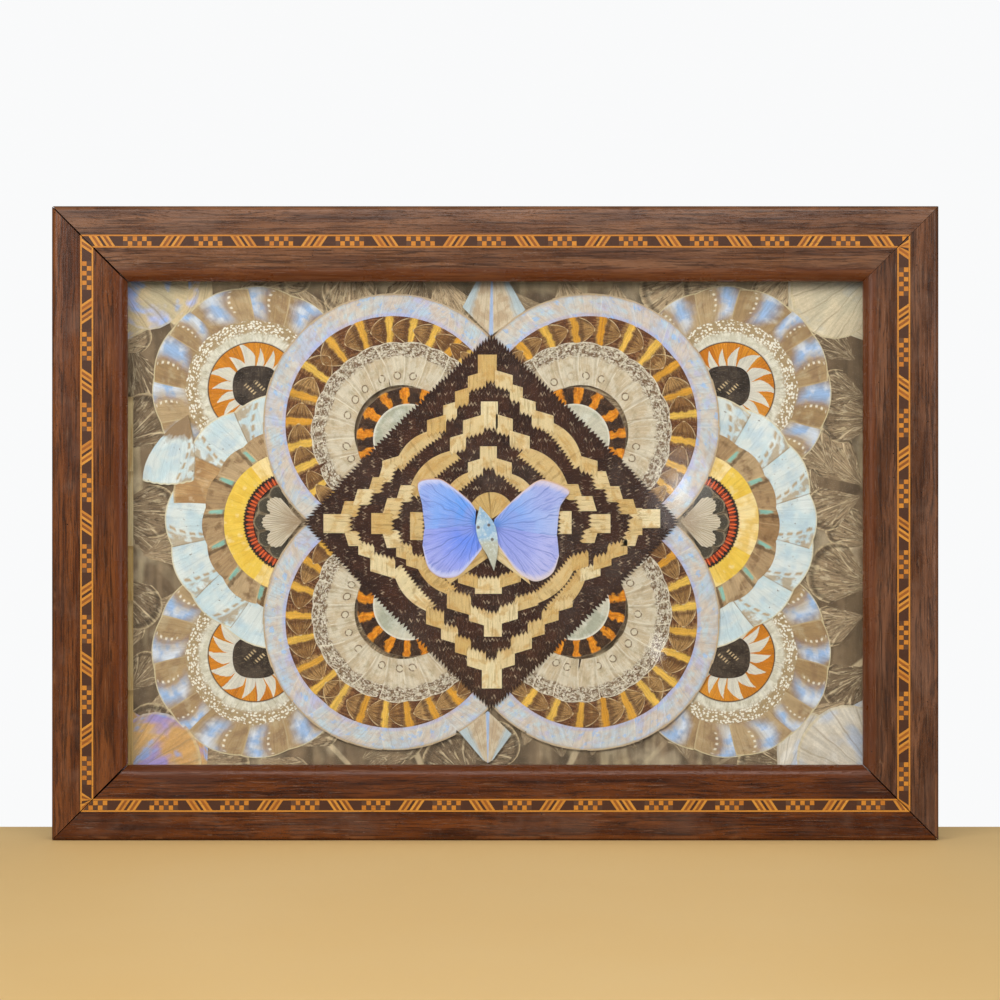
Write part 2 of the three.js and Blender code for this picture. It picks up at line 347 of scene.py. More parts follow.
def fill_band(nodes, given):
    """1 where a value lies between two limits, with soft edges."""
    value, low, high, soft = [given[label] for label in ("Value", "Low", "High", "Soft")]
    rising = nodes.step(value, nodes.minus(low, soft), nodes.plus(low, soft))
    falling = nodes.step(value, nodes.minus(high, soft), nodes.plus(high, soft), 1.0, 0.0)
    return {"Mask": nodes.times(rising, falling)}


def fill_spot(nodes, given):
    """A round spot on a wing, and the ring along its edge."""
    place = nodes.split(given["Place"])
    across = nodes.math("DIVIDE", nodes.minus(place[0], given["Across"]), given["Width"])
    along = nodes.math("DIVIDE", nodes.minus(place[1], given["Along"]), given["Length"])
    reach = nodes.length(across, along)
    inside = nodes.step(reach, nodes.minus(1.0, given["Soft"]), 1.0, 1.0, 0.0)
    ring = nodes.use("Band", {"Value": reach, "Low": 0.72, "High": 1.0, "Soft": 0.14})["Mask"]
    return {"Mask": inside, "Ring": ring}


def fill_scales(nodes, given):
    """The fine lines and powdery scales of a wing. Lines run along the vector's Y."""
    lines = nodes.mapping(given["Place"], scale=(1.0, 0.08, 1.0))
    fine = nodes.step(nodes.noise(lines, given["Fineness"], 3.0, 0.6, 0.3), 0.34, 0.66)
    wide = nodes.mapping(given["Place"], scale=(0.28, 0.09, 1.0))
    broad = nodes.step(nodes.noise(wide, 1.0, 2.0), 0.35, 0.65)
    powder = nodes.step(nodes.noise(given["Place"], 1.5, 2.0), 0.35, 0.65)
    tone = nodes.scaled(nodes.plus(broad, powder), 0.25, nodes.times(fine, 0.5))
    spread = nodes.times(given["Amount"], nodes.scaled(tone, 2.0, -1.0))
    return {"Shade": nodes.plus(spread, 1.0), "Height": fine}


def fill_grain(nodes, given):
    """Straight wood grain along the vector's X: broad figure, fine pores and a height."""
    wavy = nodes.noise(nodes.mapping(given["Place"], scale=(0.012, 0.05, 0.05)), 1.0, 2.0)
    place = nodes.split(given["Place"])
    bent = nodes.vector(
        nodes.times(place[0], 0.012),
        nodes.scaled(wavy, 9.0, place[1]),
        nodes.scaled(wavy, 6.0, place[2]),
    )
    figure = nodes.noise(nodes.mapping(bent, scale=(1.0, 0.16, 0.16)), 1.0, 4.0, 0.6)
    streaks = nodes.noise(nodes.mapping(bent, scale=(2.0, 0.9, 0.9)), 1.0, 3.0, 0.6)
    pores = nodes.noise(nodes.mapping(bent, scale=(12.0, 3.2, 3.2)), 1.0, 2.0, 0.5)
    pores = nodes.step(pores, 0.58, 0.72)
    height = nodes.minus(streaks, nodes.times(pores, 0.8))
    return {"Figure": figure, "Streaks": streaks, "Pores": pores, "Height": height}


def fill_wear(nodes, given):
    """Scratches mostly along X, scuffs and small dark nicks on a surface."""
    turned = nodes.mapping(given["Place"], scale=(0.03, 1.0, 0.9), turn=(0, 0.06, 0.0))
    other = nodes.mapping(given["Place"], scale=(0.12, 1.0, 0.5), turn=(0, -0.5, 0.1))
    one = nodes.step(nodes.noise(turned, 1.4, 2.0, 0.5), 0.64, 0.7)
    two = nodes.step(nodes.noise(other, 1.2, 2.0, 0.5), 0.72, 0.76)
    patches = nodes.step(nodes.noise(given["Place"], 0.03, 4.0, 0.65), 0.42, 0.72)
    specks = nodes.step(nodes.cells(given["Place"], 0.11), 0.03, 0.05, 1.0, 0.0)
    return {"Scratches": nodes.math("MAXIMUM", one, two), "Patches": patches, "Specks": specks}


def make_groups():
    make_group("Band", {"Value": 0.0, "Low": 0.0, "High": 1.0, "Soft": 0.02}, fill_band)
    spot = {"Place": None, "Across": 0.5, "Along": 0.5, "Width": 0.1, "Length": 0.1, "Soft": 0.3}
    make_group("Spot", spot, fill_spot)
    make_group("Wing scales", {"Place": None, "Fineness": 1.1, "Amount": 0.3}, fill_scales)
    make_group("Wood grain", {"Place": None}, fill_grain)
    make_group("Wear", {"Place": None}, fill_wear)


def new_surface(name, paint, roughness=0.5, relief=0.06, **constants):
    """A material whose paint function gives its colour, and may give roughness and height."""
    material = bpy.data.materials.new(name)
    material.use_nodes = True
    nodes = Nodes(material.node_tree)
    shader = material.node_tree.nodes["Principled BSDF"]
    made = {"roughness": roughness} | paint(nodes)
    nodes.feed(shader.inputs["Base Color"], made["colour"])
    nodes.feed(shader.inputs["Roughness"], made["roughness"])
    if "height" in made:
        bump = nodes.add("ShaderNodeBump", {"Height": made["height"], "Distance": relief * MM})
        nodes.feed(shader.inputs["Normal"], bump.outputs[0])
    for label, value in ({"Specular_IOR_Level": 0.5} | constants).items():
        shader.inputs[label.replace("_", " ")].default_value = value
    return material


def paint_floor(nodes):
    place = nodes.object_mm()
    cloud = nodes.noise(place, 0.004, 3.0)
    seen = nodes.between(cloud, "f8cd84", "fdd998")
    # Dim in the glass and the varnish, whose haze would hide the picture
    mirrored = nodes.add("ShaderNodeLightPath").outputs["Is Glossy Ray"]
    return {"colour": nodes.mix(mirrored, seen, colour("6e5a40"))}


# Paint of the frame


def paint_rail(turn, shift, inward, tones):
    """Stained wood with its grain along X, or along Z where it is turned.

    inward is the UV map that holds the distance in from the frame's outer edge. tones are
    the light, middle and dark colours of this rail.
    """
    def paint(nodes):
        light, middle, dark = [colour(text) for text in tones]
        place = nodes.object_mm()
        along = nodes.mapping(place, turn=(0, math.radians(turn), 0), shift=(shift, shift * 0.7, 0))
        grain = nodes.use("Wood grain", {"Place": along})
        wear = nodes.use("Wear", {"Place": along})
        distance = nodes.split(nodes.uv(inward))[0]
        base = nodes.mix(nodes.step(grain["Figure"], 0.38, 0.62), middle, light)
        base = nodes.mix(nodes.step(grain["Streaks"], 0.46, 0.64, 0.0, 0.75), base, dark)
        base = nodes.over(base, nodes.times(grain["Pores"], 0.6), "1d0f08")
        # A lighter red-brown along the inner lip: a painted highlight of the lip's rounded edge
        lip_highlight = nodes.step(distance, 35.5, 38.5, 0.0, 0.55)
        base = nodes.over(base, lip_highlight, "6a3410")
        faded = nodes.use("Band", {"Value": distance, "Low": 4.0, "High": 17.0, "Soft": 3.0})["Mask"]
        faded = nodes.times(faded, nodes.times(wear["Patches"], 0.3))
        base = nodes.over(base, faded, "80604e")
        # A lighter band on the rounded outer edge, in patches: partly rubbed wear and partly painted
        # highlight on the rounding
        edge = nodes.use("Band", {"Value": distance, "Low": 0.8, "High": 2.6, "Soft": 0.7})["Mask"]
        edge = nodes.times(edge, nodes.step(wear["Patches"], 0.2, 0.6, 0.15, 0.6))
        base = nodes.coats(base, [
            (edge, "8d5c3a"),
            (nodes.times(wear["Scratches"], 0.22), "a07a5c"),
            (wear["Specks"], "1a0e08"),
        ])
        gloss = nodes.scaled(wear["Patches"], 0.14, 0.26)
        gloss = nodes.scaled(grain["Pores"], 0.2, gloss)
        height = nodes.scaled(wear["Scratches"], -0.4, grain["Height"])
        return {"colour": base, "roughness": gloss, "height": height}
    return paint


def paint_inlay(light, dark):
    """A small slip of inlaid wood, each with a tone of its own."""
    def paint(nodes):
        place = nodes.object_mm()
        tone = nodes.split(nodes.uv("Tone"))[0]
        fine = nodes.noise(place, 2.6, 2.0)
        shade = nodes.scaled(fine, 0.5, nodes.times(tone, 0.6))
        wear = nodes.use("Wear", {"Place": place})
        base = nodes.between(shade, dark, light)
        base = nodes.over(base, nodes.times(wear["Scratches"], 0.4), "5b351c")
        return {"colour": base, "height": fine, "roughness": nodes.step(fine, 0.3, 0.7, 0.32, 0.46)}
    return paint


def paint_board(nodes):
    """Thin bare board at the back, aged unevenly."""
    place = nodes.object_mm()
    grain = nodes.use("Wood grain", {"Place": place})
    base = nodes.between(nodes.step(grain["Figure"], 0.3, 0.7), "8a6a44", "b08d60")
    base = nodes.over(base, nodes.times(grain["Pores"], 0.6), "4e3720")
    stains = nodes.step(nodes.noise(place, 0.012, 4.0, 0.6), 0.5, 0.75, 0.0, 0.55)
    base = nodes.over(base, stains, "5f452a")
    return {"colour": base, "height": grain["Height"], "roughness": 0.85}


def paint_brad(nodes):
    rust = nodes.step(nodes.noise(nodes.object_mm(), 0.9, 4.0), 0.4, 0.62)
    base = nodes.between(rust, "6f6a64", "5a3320")
    return {"colour": base, "roughness": nodes.step(rust, 0, 1, 0.4, 0.85), "height": rust}


# Paint of the wings


class WingPaint:
    """A wing's own place, tone and scales, with the marks that its paint is made from.

    u runs across the wing and v along it, both from 0 to 1.
    """

    def __init__(self, nodes, width, length, amount=0.3, fineness=1.1):
        self.nodes = nodes
        self.place = nodes.uv("Wing")
        self.u, self.v = nodes.split(self.place)[:2]
        self.tone, self.other = nodes.split(nodes.uv("Tone"))[:2]
        own_u = nodes.times(self.tone, 83.0)
        own_v = nodes.times(self.other, 59.0)
        self.local = nodes.vector(
            nodes.scaled(self.u, width, own_u),
            nodes.scaled(self.v, length, own_v),
        )
        inputs = {"Place": self.local, "Amount": amount, "Fineness": fineness}
        self.scales = nodes.use("Wing scales", inputs)

    def band(self, value, low, high, soft=0.02, most=1.0):
        inputs = {"Value": value, "Low": low, "High": high, "Soft": soft}
        mask = self.nodes.use("Band", inputs)["Mask"]
        return mask if most == 1.0 else self.nodes.times(mask, most)

    def spot(self, across, along, width, length, part):
        inputs = {"Place": self.place, "Across": across, "Along": along, "Width": width, "Length": length}
        return self.nodes.use("Spot", inputs)[part]

    def cloud(self, scale, low=0.4, high=0.6, most=1.0):
        return self.nodes.step(self.nodes.noise(self.local, scale, 3.0), low, high, 0.0, most)

    def wavy(self, value, scale, reach):
        """A value that strays up and down by noise, by up to about half of reach."""
        stray = self.nodes.minus(self.nodes.noise(self.local, scale, 2.0), 0.5)
        return self.nodes.scaled(stray, reach, value)

    def lines(self, count, thickness, most=1.0, stray=0.5, value=None):
        """Thin lines, count of them over the whole of a value from 0 to 1 (else u)."""
        value = self.u if value is None else value
        at = self.wavy(self.nodes.times(value, count), 0.12, stray)
        near = self.nodes.math("PINGPONG", at, 0.5)
        return self.nodes.step(near, thickness * 0.4, thickness, most, 0.0)

    def streaks(self, across, along, low=0.5, high=0.62, most=1.0):
        """Broken streaks, with their scale across and along the wing."""
        drawn = self.nodes.mapping(self.local, scale=(across, along, 1.0))
        return self.nodes.step(self.nodes.noise(drawn, 1.0, 2.0, 0.6), low, high, 0.0, most)

    def finish(self, base, roughness=0.5):
        shaded = self.nodes.mix(1.0, base, self.scales["Shade"], "MULTIPLY")
        return {"colour": shaded, "roughness": roughness, "height": self.scales["Height"]}


def paint_pale_blue(nodes):
    """Pale shot-blue wings of the large medallions' outer rings."""
    wing = WingPaint(nodes, 24, 17, amount=0.11, fineness=0.9)
    base = nodes.between(wing.cloud(0.08), "b7c2cb", "cbc6bc")
    base = nodes.coats(base, [
        (nodes.step(wing.tone, 0.45, 0.95, 0.0, 0.45), "adb9dc"),
        (wing.cloud(0.06, 0.45, 0.6, 0.85), "cfc0ae"),
        (wing.cloud(0.14, 0.52, 0.66, 0.6), "b4cdd8"),
        (wing.cloud(0.11, 0.56, 0.68, 0.5), "b3b0da"),
        (wing.band(wing.v, 0.06, 0.3, 0.05, 0.45), "a2a6e0"),
        (wing.lines(5, 0.05, 0.4), "8f9cab"),
        (nodes.step(wing.u, 0.95, 0.99, 0.0, 0.45), "ddd6ca"),
        (wing.band(wing.v, 0.9, 0.955, 0.02, 0.3), "8e8f96"),
        (wing.cloud(0.26, 0.48, 0.62, 0.4), "b8a08c"),
        (wing.cloud(0.2, 0.6, 0.66, 0.55), "86b4ea"),
        (nodes.step(wing.v, 0.93, 0.96, 0.0, 0.85), "b99f78"),
    ])
    return wing.finish(base, 0.42)


def paint_tawny(nodes):
    """Tawny wings: a dark base at u = 0, an ochre bar, and a finely lined tip at u = 1."""
    wing = WingPaint(nodes, 23, 15, amount=0.3)
    tip = nodes.between(wing.tone, "7a5228", "ac8652")
    tip = nodes.over(tip, wing.streaks(0.12, 1.3, 0.47, 0.6, 0.75), "4a2c12")
    tip = nodes.over(tip, wing.streaks(0.1, 1.1, 0.56, 0.68, 0.55), "c4a470")
    dark = nodes.between(wing.streaks(0.15, 1.0), "5a3419", "835a34")
    base = nodes.mix(nodes.step(wing.wavy(wing.u, 0.2, 0.2), 0.34, 0.42), dark, tip)
    edge = wing.wavy(wing.u, 0.25, 0.14)
    bar_tone = nodes.between(wing.other, "c98b22", "dbb350")
    base = nodes.mix(wing.band(edge, 0.45, 0.6, 0.025), base, bar_tone)
    base = nodes.over(base, wing.band(edge, 0.62, 0.72, 0.04, 0.6), "4f2f16")
    side = nodes.apart(wing.v, 0.5)
    rim = nodes.times(nodes.step(side, 0.44, 0.485), nodes.step(wing.u, 0.62, 0.7))
    rim = nodes.math("MAXIMUM", rim, nodes.step(wing.u, 0.965, 0.99))
    base = nodes.over(base, nodes.times(rim, 0.8), "d3bf96")
    return wing.finish(base)


def paint_tawny_base(nodes):
    """The dark, finely lined root of the tawny wings, seen between their tips."""
    wing = WingPaint(nodes, 180, 20, amount=0.35)
    base = nodes.between(wing.streaks(0.9, 0.12), "553219", "8a6240")
    return wing.finish(base)


def paint_mottled(nodes):
    """Beige wings with one ringed eyespot and a speckled brown and white border."""
    wing = WingPaint(nodes, 12, 25, amount=0.14)
    base = nodes.between(wing.cloud(0.12), "c0ae90", "cfc4ad")
    base = nodes.coats(base, [
        (wing.cloud(0.2, 0.5, 0.7, 0.6), "a0906f"),
        (wing.streaks(0.9, 0.1, 0.52, 0.66, 0.4), "d8d0bc"),
    ])
    seen = nodes.step(wing.tone, 0.2, 0.25)
    stray = nodes.scaled(wing.other, 0.3, 0.3)
    for part, tone, size in (("Mask", "cfc5ac", 0.19), ("Ring", "6b543c", 0.2)):
        spot = wing.spot(stray, 0.22, size, size * 0.46, part)
        broken = nodes.step(nodes.noise(wing.local, 0.5, 1.0), 0.34, 0.5) if part == "Ring" else 0.9
        base = nodes.over(base, nodes.times(nodes.times(spot, seen), broken), tone)
    blots = nodes.noise(wing.local, 0.4, 4.0, 0.75)
    speckled = nodes.between(nodes.step(blots, 0.43, 0.56), "765c42", "c9bfa9")
    fine = nodes.noise(wing.local, 1.1, 2.0, 0.6)
    speckled = nodes.over(speckled, nodes.step(fine, 0.55, 0.62, 0.0, 0.85), "513d2a")
    speckled = nodes.over(speckled, nodes.step(fine, 0.42, 0.36, 0.0, 0.8), "e9e5da")
    base = nodes.mix(nodes.step(wing.wavy(wing.v, 0.25, 0.25), 0.62, 0.7), base, speckled)
    # A brownish band just inside the wing's overlapping edge: painted shade along the edge
    base = nodes.over(base, wing.band(wing.u, 0.84, 0.93, 0.03, 0.25), "7d6a4c")
    side = nodes.step(wing.u, 0.94, 0.98)
    base = nodes.coats(base, [
        (nodes.times(side, wing.cloud(0.15, 0.4, 0.5, 0.8)), "ddd5c0"),
        (nodes.step(wing.v, 0.965, 0.99, 0.0, 0.6), "ddd5c0"),
    ])
    return wing.finish(base)


def paint_tiger(nodes):
    """Near-black wings, each with an orange patch."""
    wing = WingPaint(nodes, 12, 11, amount=0.35)
    base = nodes.between(wing.cloud(0.25), "2c1a10", "47301f")
    base = nodes.over(base, wing.streaks(1.2, 0.15, 0.55, 0.68, 0.5), "6b4a2e")
    patch = wing.band(wing.wavy(wing.u, 0.22, 0.6), 0.3, 0.68, 0.05)
    base = nodes.mix(patch, base, nodes.between(wing.cloud(0.4), "c67410", "dc8f20"))
    base = nodes.over(base, nodes.step(wing.v, 0.95, 0.99, 0.0, 0.6), "8d7c66")
    return wing.finish(base)


def paint_pearl(nodes):
    """Pale grey-green pearly wings, with brown flecks towards both ends."""
    wing = WingPaint(nodes, 40, 20, amount=0.14)
    base = nodes.between(wing.cloud(0.1), "a9aa96", "c4bfab")
    base = nodes.over(base, wing.cloud(0.17, 0.5, 0.66, 0.6), "d2d3c6")
    ends = nodes.apart(wing.u, 0.5)
    flecks = nodes.step(nodes.noise(wing.local, 0.55, 2.0), 0.54, 0.62, 0.0, 0.8)
    base = nodes.coats(base, [
        (nodes.times(flecks, nodes.step(ends, 0.26, 0.4)), "7b6648"),
        (nodes.step(wing.v, 0.93, 0.98, 0.0, 0.8), "dedacb"),
    ])
    return wing.finish(base, 0.4)


def paint_side_pale(nodes):
    """Large pale blue-white wings with a dotted ochre arc near one edge."""
    wing = WingPaint(nodes, 34, 40, amount=0.09, fineness=0.8)
    base = nodes.between(wing.cloud(0.06), "c0d2d6", "d2d8d4")
    base = nodes.coats(base, [
        (wing.cloud(0.09, 0.48, 0.68, 0.7), "aec4d0"),
        (wing.cloud(0.05, 0.5, 0.66, 0.7), "dde2de"),
        (wing.lines(6, 0.035, 0.35), "8da3ae"),
    ])
    arc = nodes.scaled(nodes.times(wing.v, wing.v), -0.3, 1.0)
    offset = wing.wavy(nodes.minus(wing.u, arc), 0.15, 0.08)
    dash = nodes.step(nodes.waves(wing.v, 44.0), -0.9, 0.2)
    line = nodes.times(wing.band(offset, -0.1, -0.045, 0.03), dash)
    base = nodes.over(base, nodes.times(line, 0.85), "ad8c54")
    beyond = nodes.times(nodes.step(offset, -0.03, 0.02), wing.cloud(0.12, 0.42, 0.55))
    base = nodes.over(base, nodes.times(beyond, 0.75), "a98f66")
    inner = nodes.step(wing.wavy(wing.v, 0.12, 0.3), 0.3, 0.4, 1.0, 0.0)
    base = nodes.over(base, nodes.times(inner, 0.95), "8f714c")
    nicks = nodes.step(nodes.noise(wing.local, 0.35, 3.0, 0.6), 0.66, 0.7, 0.0, 0.85)
    base = nodes.coats(base, [
        (nicks, "6b5c4a"),
        (nodes.step(wing.v, 0.97, 0.99, 0.0, 0.85), "d6c9a4"),
        (nodes.step(wing.u, 0.975, 0.99, 0.0, 0.6), "8a7654"),
    ])
    return wing.finish(base, 0.42)


def paint_tan(nodes):
    """Tan wings with a turquoise dash between them and a dark seam."""
    wing = WingPaint(nodes, 18, 15, amount=0.22)
    base = nodes.between(wing.tone, "93714a", "b59a74")
    base = nodes.coats(base, [
        (wing.cloud(0.16, 0.48, 0.68, 0.7), "6d4e30"),
        (wing.lines(2, 0.05, 0.3), "c0a57c"),
    ])
    slant = wing.wavy(nodes.scaled(wing.v, 0.1, wing.u), 0.3, 0.1)
    dash = nodes.times(wing.band(slant, 0.08, 0.3, 0.03), wing.band(wing.v, 0.25, 0.8, 0.08))
    base = nodes.coats(base, [
        (nodes.times(dash, 0.9), "84b9ab"),
        (wing.band(slant, 0.32, 0.4, 0.02, 0.6), "3f2c1a"),
        (nodes.step(wing.u, 0.95, 0.98, 0.0, 0.5), "cbb48c"),
    ])
    return wing.finish(base)


def paint_corner_wing(nodes):
    """Tan wings with a pale blue patch, an orange-brown line and a row of white dots."""
    wing = WingPaint(nodes, 30, 34, amount=0.16, fineness=0.8)
    base = nodes.between(wing.tone, "9d8058", "b39972")
    base = nodes.coats(base, [
        (wing.cloud(0.07, 0.45, 0.7, 0.7), "83654a"),
        (wing.cloud(0.1, 0.5, 0.7, 0.6), "bba986"),
        (wing.lines(7, 0.05, 0.35), "735a3c"),
    ])
    bow = nodes.minus(wing.v, 0.6)
    across = nodes.scaled(nodes.times(bow, bow), -0.9, wing.u)
    blur = wing.wavy(across, 0.1, 0.3)
    blue = nodes.times(wing.band(blur, 0.18, 0.46, 0.16), nodes.step(wing.v, 0.05, 0.5))
    patch = nodes.between(wing.cloud(0.1, 0.42, 0.6), "96b6de", "cdd6e2")
    base = nodes.mix(nodes.times(blue, 0.95), base, patch)
    base = nodes.over(base, wing.band(across, 0.5, 0.545, 0.03, 0.25), "8f5a2a")
    dots = nodes.waves(wing.v, 48.0)
    row = nodes.times(wing.band(across, 0.575, 0.62, 0.015), nodes.step(dots, 0.0, 0.5))
    row = nodes.times(row, wing.band(wing.v, 0.42, 0.94, 0.02))
    base = nodes.coats(base, [
        (nodes.times(row, 0.85), "e6dfcd"),
        (nodes.step(wing.v, 0.965, 0.985, 0.0, 0.85), "cdbf98"),
        (nodes.step(wing.u, 0.965, 0.985, 0.0, 0.5), "c8b68c"),
    ])
    return wing.finish(base, 0.45)


def paint_speckled(nodes):
    """Cream wings, their outer half covered in white beads ringed with brown."""
    wing = WingPaint(nodes, 14, 16, amount=0.12)
    base = nodes.between(wing.cloud(0.2), "c6c0ab", "d9d5c5")
    base = nodes.over(base, wing.streaks(0.9, 0.14, 0.55, 0.66, 0.4), "8f8468")
    beads = nodes.cells(wing.local, 0.66, 0.75)
    zone = nodes.step(wing.wavy(wing.v, 0.25, 0.3), 0.32, 0.6)
    base = nodes.coats(base, [
        (nodes.times(zone, nodes.step(beads, 0.4, 0.52, 0.0, 0.85)), "9c8052"),
        (nodes.times(zone, nodes.step(beads, 0.36, 0.5, 1.0, 0.0)), "e6e1d2"),
        (nodes.step(wing.v, 0.13, 0.05, 0.0, 0.85), "4f3d2a"),
    ])
    return wing.finish(base)


def paint_flame(nodes):
    """Orange wedges from the outside and white curved flame points from the inside."""
    wing = WingPaint(nodes, 13, 13, amount=0.22)
    bend = nodes.scaled(nodes.times(wing.v, wing.v), -0.5, wing.u)
    side = nodes.apart(bend, 0.38)
    point = nodes.scaled(side, 1.45, wing.v)
    base = nodes.between(wing.other, "c0700f", "d28a22")
    base = nodes.over(base, wing.streaks(1.3, 0.1, 0.5, 0.64, 0.5), "8f500c")
    reach = nodes.scaled(wing.tone, 0.35, 0.75)
    white = nodes.math("LESS_THAN", wing.wavy(point, 0.6, 0.14), reach)
    base = nodes.coats(base, [
        (white, "cfcabb"),
        (nodes.step(wing.v, 0.95, 0.98), "5a4028"),
    ])
    return wing.finish(base)


def paint_heart(nodes):
    """A dark wing with two slanted rows of cream dots."""
    wing = WingPaint(nodes, 26, 22, amount=0.4)
    base = nodes.between(wing.cloud(0.1), "2b221b", "453a30")
    base = nodes.over(base, wing.streaks(0.3, 1.2, 0.54, 0.66, 0.5), "6a5a48")
    across = nodes.plus(wing.u, wing.v)
    along = nodes.minus(wing.u, wing.v)
    dots = nodes.step(nodes.waves(along, 62.8), -0.1, 0.4)
    for middle, start, end in ((0.82, -0.28, 0.18), (1.1, -0.16, 0.3)):
        row = nodes.times(wing.band(across, middle - 0.055, middle + 0.055, 0.02), dots)
        row = nodes.times(row, wing.band(along, start, end, 0.02))
        base = nodes.over(base, nodes.times(row, 0.9), "c9b186")
    return wing.finish(base)


def paint_yellow(nodes):
    """Yellow wings, some with a paler patch, edged by a dark saw line at the inside."""
    wing = WingPaint(nodes, 16, 13, amount=0.1)
    base = nodes.between(nodes.step(wing.tone, 0.3, 0.8), "e6c24e", "ecd498")
    base = nodes.coats(base, [
        (wing.cloud(0.1, 0.46, 0.62, 0.6), "dcb03a"),
        (wing.cloud(0.13, 0.54, 0.66, 0.6), "ecd89e"),
        (wing.lines(4, 0.04, 0.4), "c2912c"),
    ])
    saw = nodes.times(nodes.waves(wing.u, 50.0), 0.03)
    base = nodes.over(base, nodes.step(nodes.plus(wing.v, saw), 0.12, 0.08), "34201a")
    return wing.finish(base, 0.45)


def paint_red_border(nodes):
    """A brick-red border hatched with dark lines."""
    wing = WingPaint(nodes, 8, 5, amount=0.25)
    hatch = nodes.step(nodes.waves(wing.u, 15.7), -0.1, 0.6)
    base = nodes.between(hatch, "cf5a26", "6e2410")
    saw = nodes.times(nodes.waves(wing.u, 15.7), 0.16)
    base = nodes.coats(base, [
        (nodes.step(nodes.plus(wing.v, saw), 0.7, 0.8), "2a1a15"),
        (nodes.step(wing.v, 0.16, 0.08), "2a1a15"),
    ])
    return wing.finish(base)


def paint_petal(nodes):
    """Dark rounded petals with a pale outline."""
    wing = WingPaint(nodes, 9, 12, amount=0.3)
    base = nodes.between(wing.v, "201a14", "4d4638")
    side = nodes.apart(wing.u, 0.5)
    rim = nodes.math("MAXIMUM", nodes.step(side, 0.43, 0.48), nodes.step(wing.v, 0.92, 0.97))
    base = nodes.over(base, nodes.times(rim, 0.7), "978467")
    return wing.finish(base)


def paint_fan(nodes):
    """A pale ribbed fan."""
    wing = WingPaint(nodes, 26, 22, amount=0.22)
    base = nodes.between(nodes.step(wing.v, 0.1, 0.9), "a08a6c", "c6baa2")
    base = nodes.coats(base, [
        (wing.lines(9, 0.2, 0.6, 0.3), "7f6a4e"),
        (wing.streaks(1.1, 0.1, 0.55, 0.66, 0.6), "ddd4c2"),
    ])
    return wing.finish(base)


def paint_dark(specked):
    """Dark brown wings with hair-fine lines, grey in places, and pale specks at toothed edges."""
    def paint(nodes):
        wing = WingPaint(nodes, 9, 9, amount=0.4, fineness=1.6)
        place = nodes.object_mm()
        base = nodes.between(wing.tone, "27130a", "3e2012")
        sheen = nodes.step(nodes.noise(place, 0.016, 2.0), 0.48, 0.66, 0.0, 0.75)
        base = nodes.over(base, nodes.times(sheen, nodes.step(wing.other, 0.0, 0.9, 0.3, 1.0)), "453831")
        hair = place if not specked else wing.local
        size = (1.4, 1.4, 0.35) if not specked else (1.5, 0.28, 1.0)
        lines = nodes.noise(nodes.mapping(hair, scale=size), 1.0, 3.0, 0.65)
        base = nodes.coats(base, [
            (nodes.step(lines, 0.52, 0.66, 0.0, 0.6), "68452e"),
            (nodes.step(lines, 0.62, 0.74, 0.0, 0.7), "8f7a64"),
        ])
        if specked:
            specks = nodes.noise(nodes.mapping(wing.local, scale=(0.55, 0.5, 1.0)), 1.0, 2.0)
            tips = nodes.times(nodes.step(wing.v, 0.78, 0.92), nodes.step(specks, 0.52, 0.6, 0.0, 0.8))
            base = nodes.over(base, tips, "b09c80")
        return wing.finish(base, 0.6)
    return paint


def paint_cream(nodes):
    """Cream wing blocks with fine lines."""
    wing = WingPaint(nodes, 9, 10, amount=0.12)
    base = nodes.between(wing.tone, "c9a768", "e0d0a6")
    base = nodes.coats(base, [
        (wing.cloud(0.2, 0.48, 0.64, 0.6), "c0934c"),
        (wing.streaks(1.0, 0.08, 0.55, 0.66, 0.5), "93743f"),
        (nodes.step(wing.v, 0.1, 0.02, 0.0, 0.5), "8a6c40"),
    ])
    return wing.finish(base)


def paint_butterfly(veins_from, bright, outer, rim, margin="cfd2ee"):
    """Shot-blue wings, brightest near the body, with dark veins that fan out from it."""
    def paint(nodes):
        spot = nodes.object_mm()
        place = nodes.split(spot)
        away_x = nodes.minus(place[0], MIDDLE_X + veins_from[0])
        away_z = nodes.minus(place[2], MIDDLE_Z + veins_from[1])
        angle = nodes.math("ARCTAN2", away_z, nodes.math("ABSOLUTE", away_x))
        reach = nodes.length(away_x, away_z)
        fan = nodes.vector(nodes.times(angle, 26.0), nodes.times(reach, 0.06))
        base = nodes.between(nodes.step(reach, 3.0, 38.0), bright, outer)
        lilac = nodes.step(nodes.noise(spot, 0.05, 2.0), 0.42, 0.6, 0.0, 0.6)
        base = nodes.over(base, lilac, "98a0dc")
        streaks = nodes.noise(fan, 1.3, 4.0, 0.65)
        base = nodes.coats(base, [
            (nodes.step(streaks, 0.5, 0.66, 0.0, 0.4), "b4bdec"),
            (nodes.step(streaks, 0.48, 0.34, 0.0, 0.4), "4666c0"),
        ])
        bent = nodes.scaled(nodes.noise(spot, 0.07, 2.0), 1.2, nodes.times(angle, 3.6))
        near = nodes.times(nodes.math("PINGPONG", bent, 0.5), reach)
        line = nodes.step(near, 0.3, 1.5, 0.5, 0.0)
        base = nodes.over(base, line, "3f5cb0")
        edge = nodes.split(nodes.uv("Wing"))[1]
        frayed = nodes.scaled(streaks, -0.16, edge)
        base = nodes.coats(base, [
            (nodes.step(frayed, -0.04, 0.08, 0.75, 0.0), margin),
            (nodes.step(edge, 0.012, 0.04, 0.9, 0.0), rim),
        ])
        return {"colour": base, "roughness": 0.4, "height": streaks}
    return paint


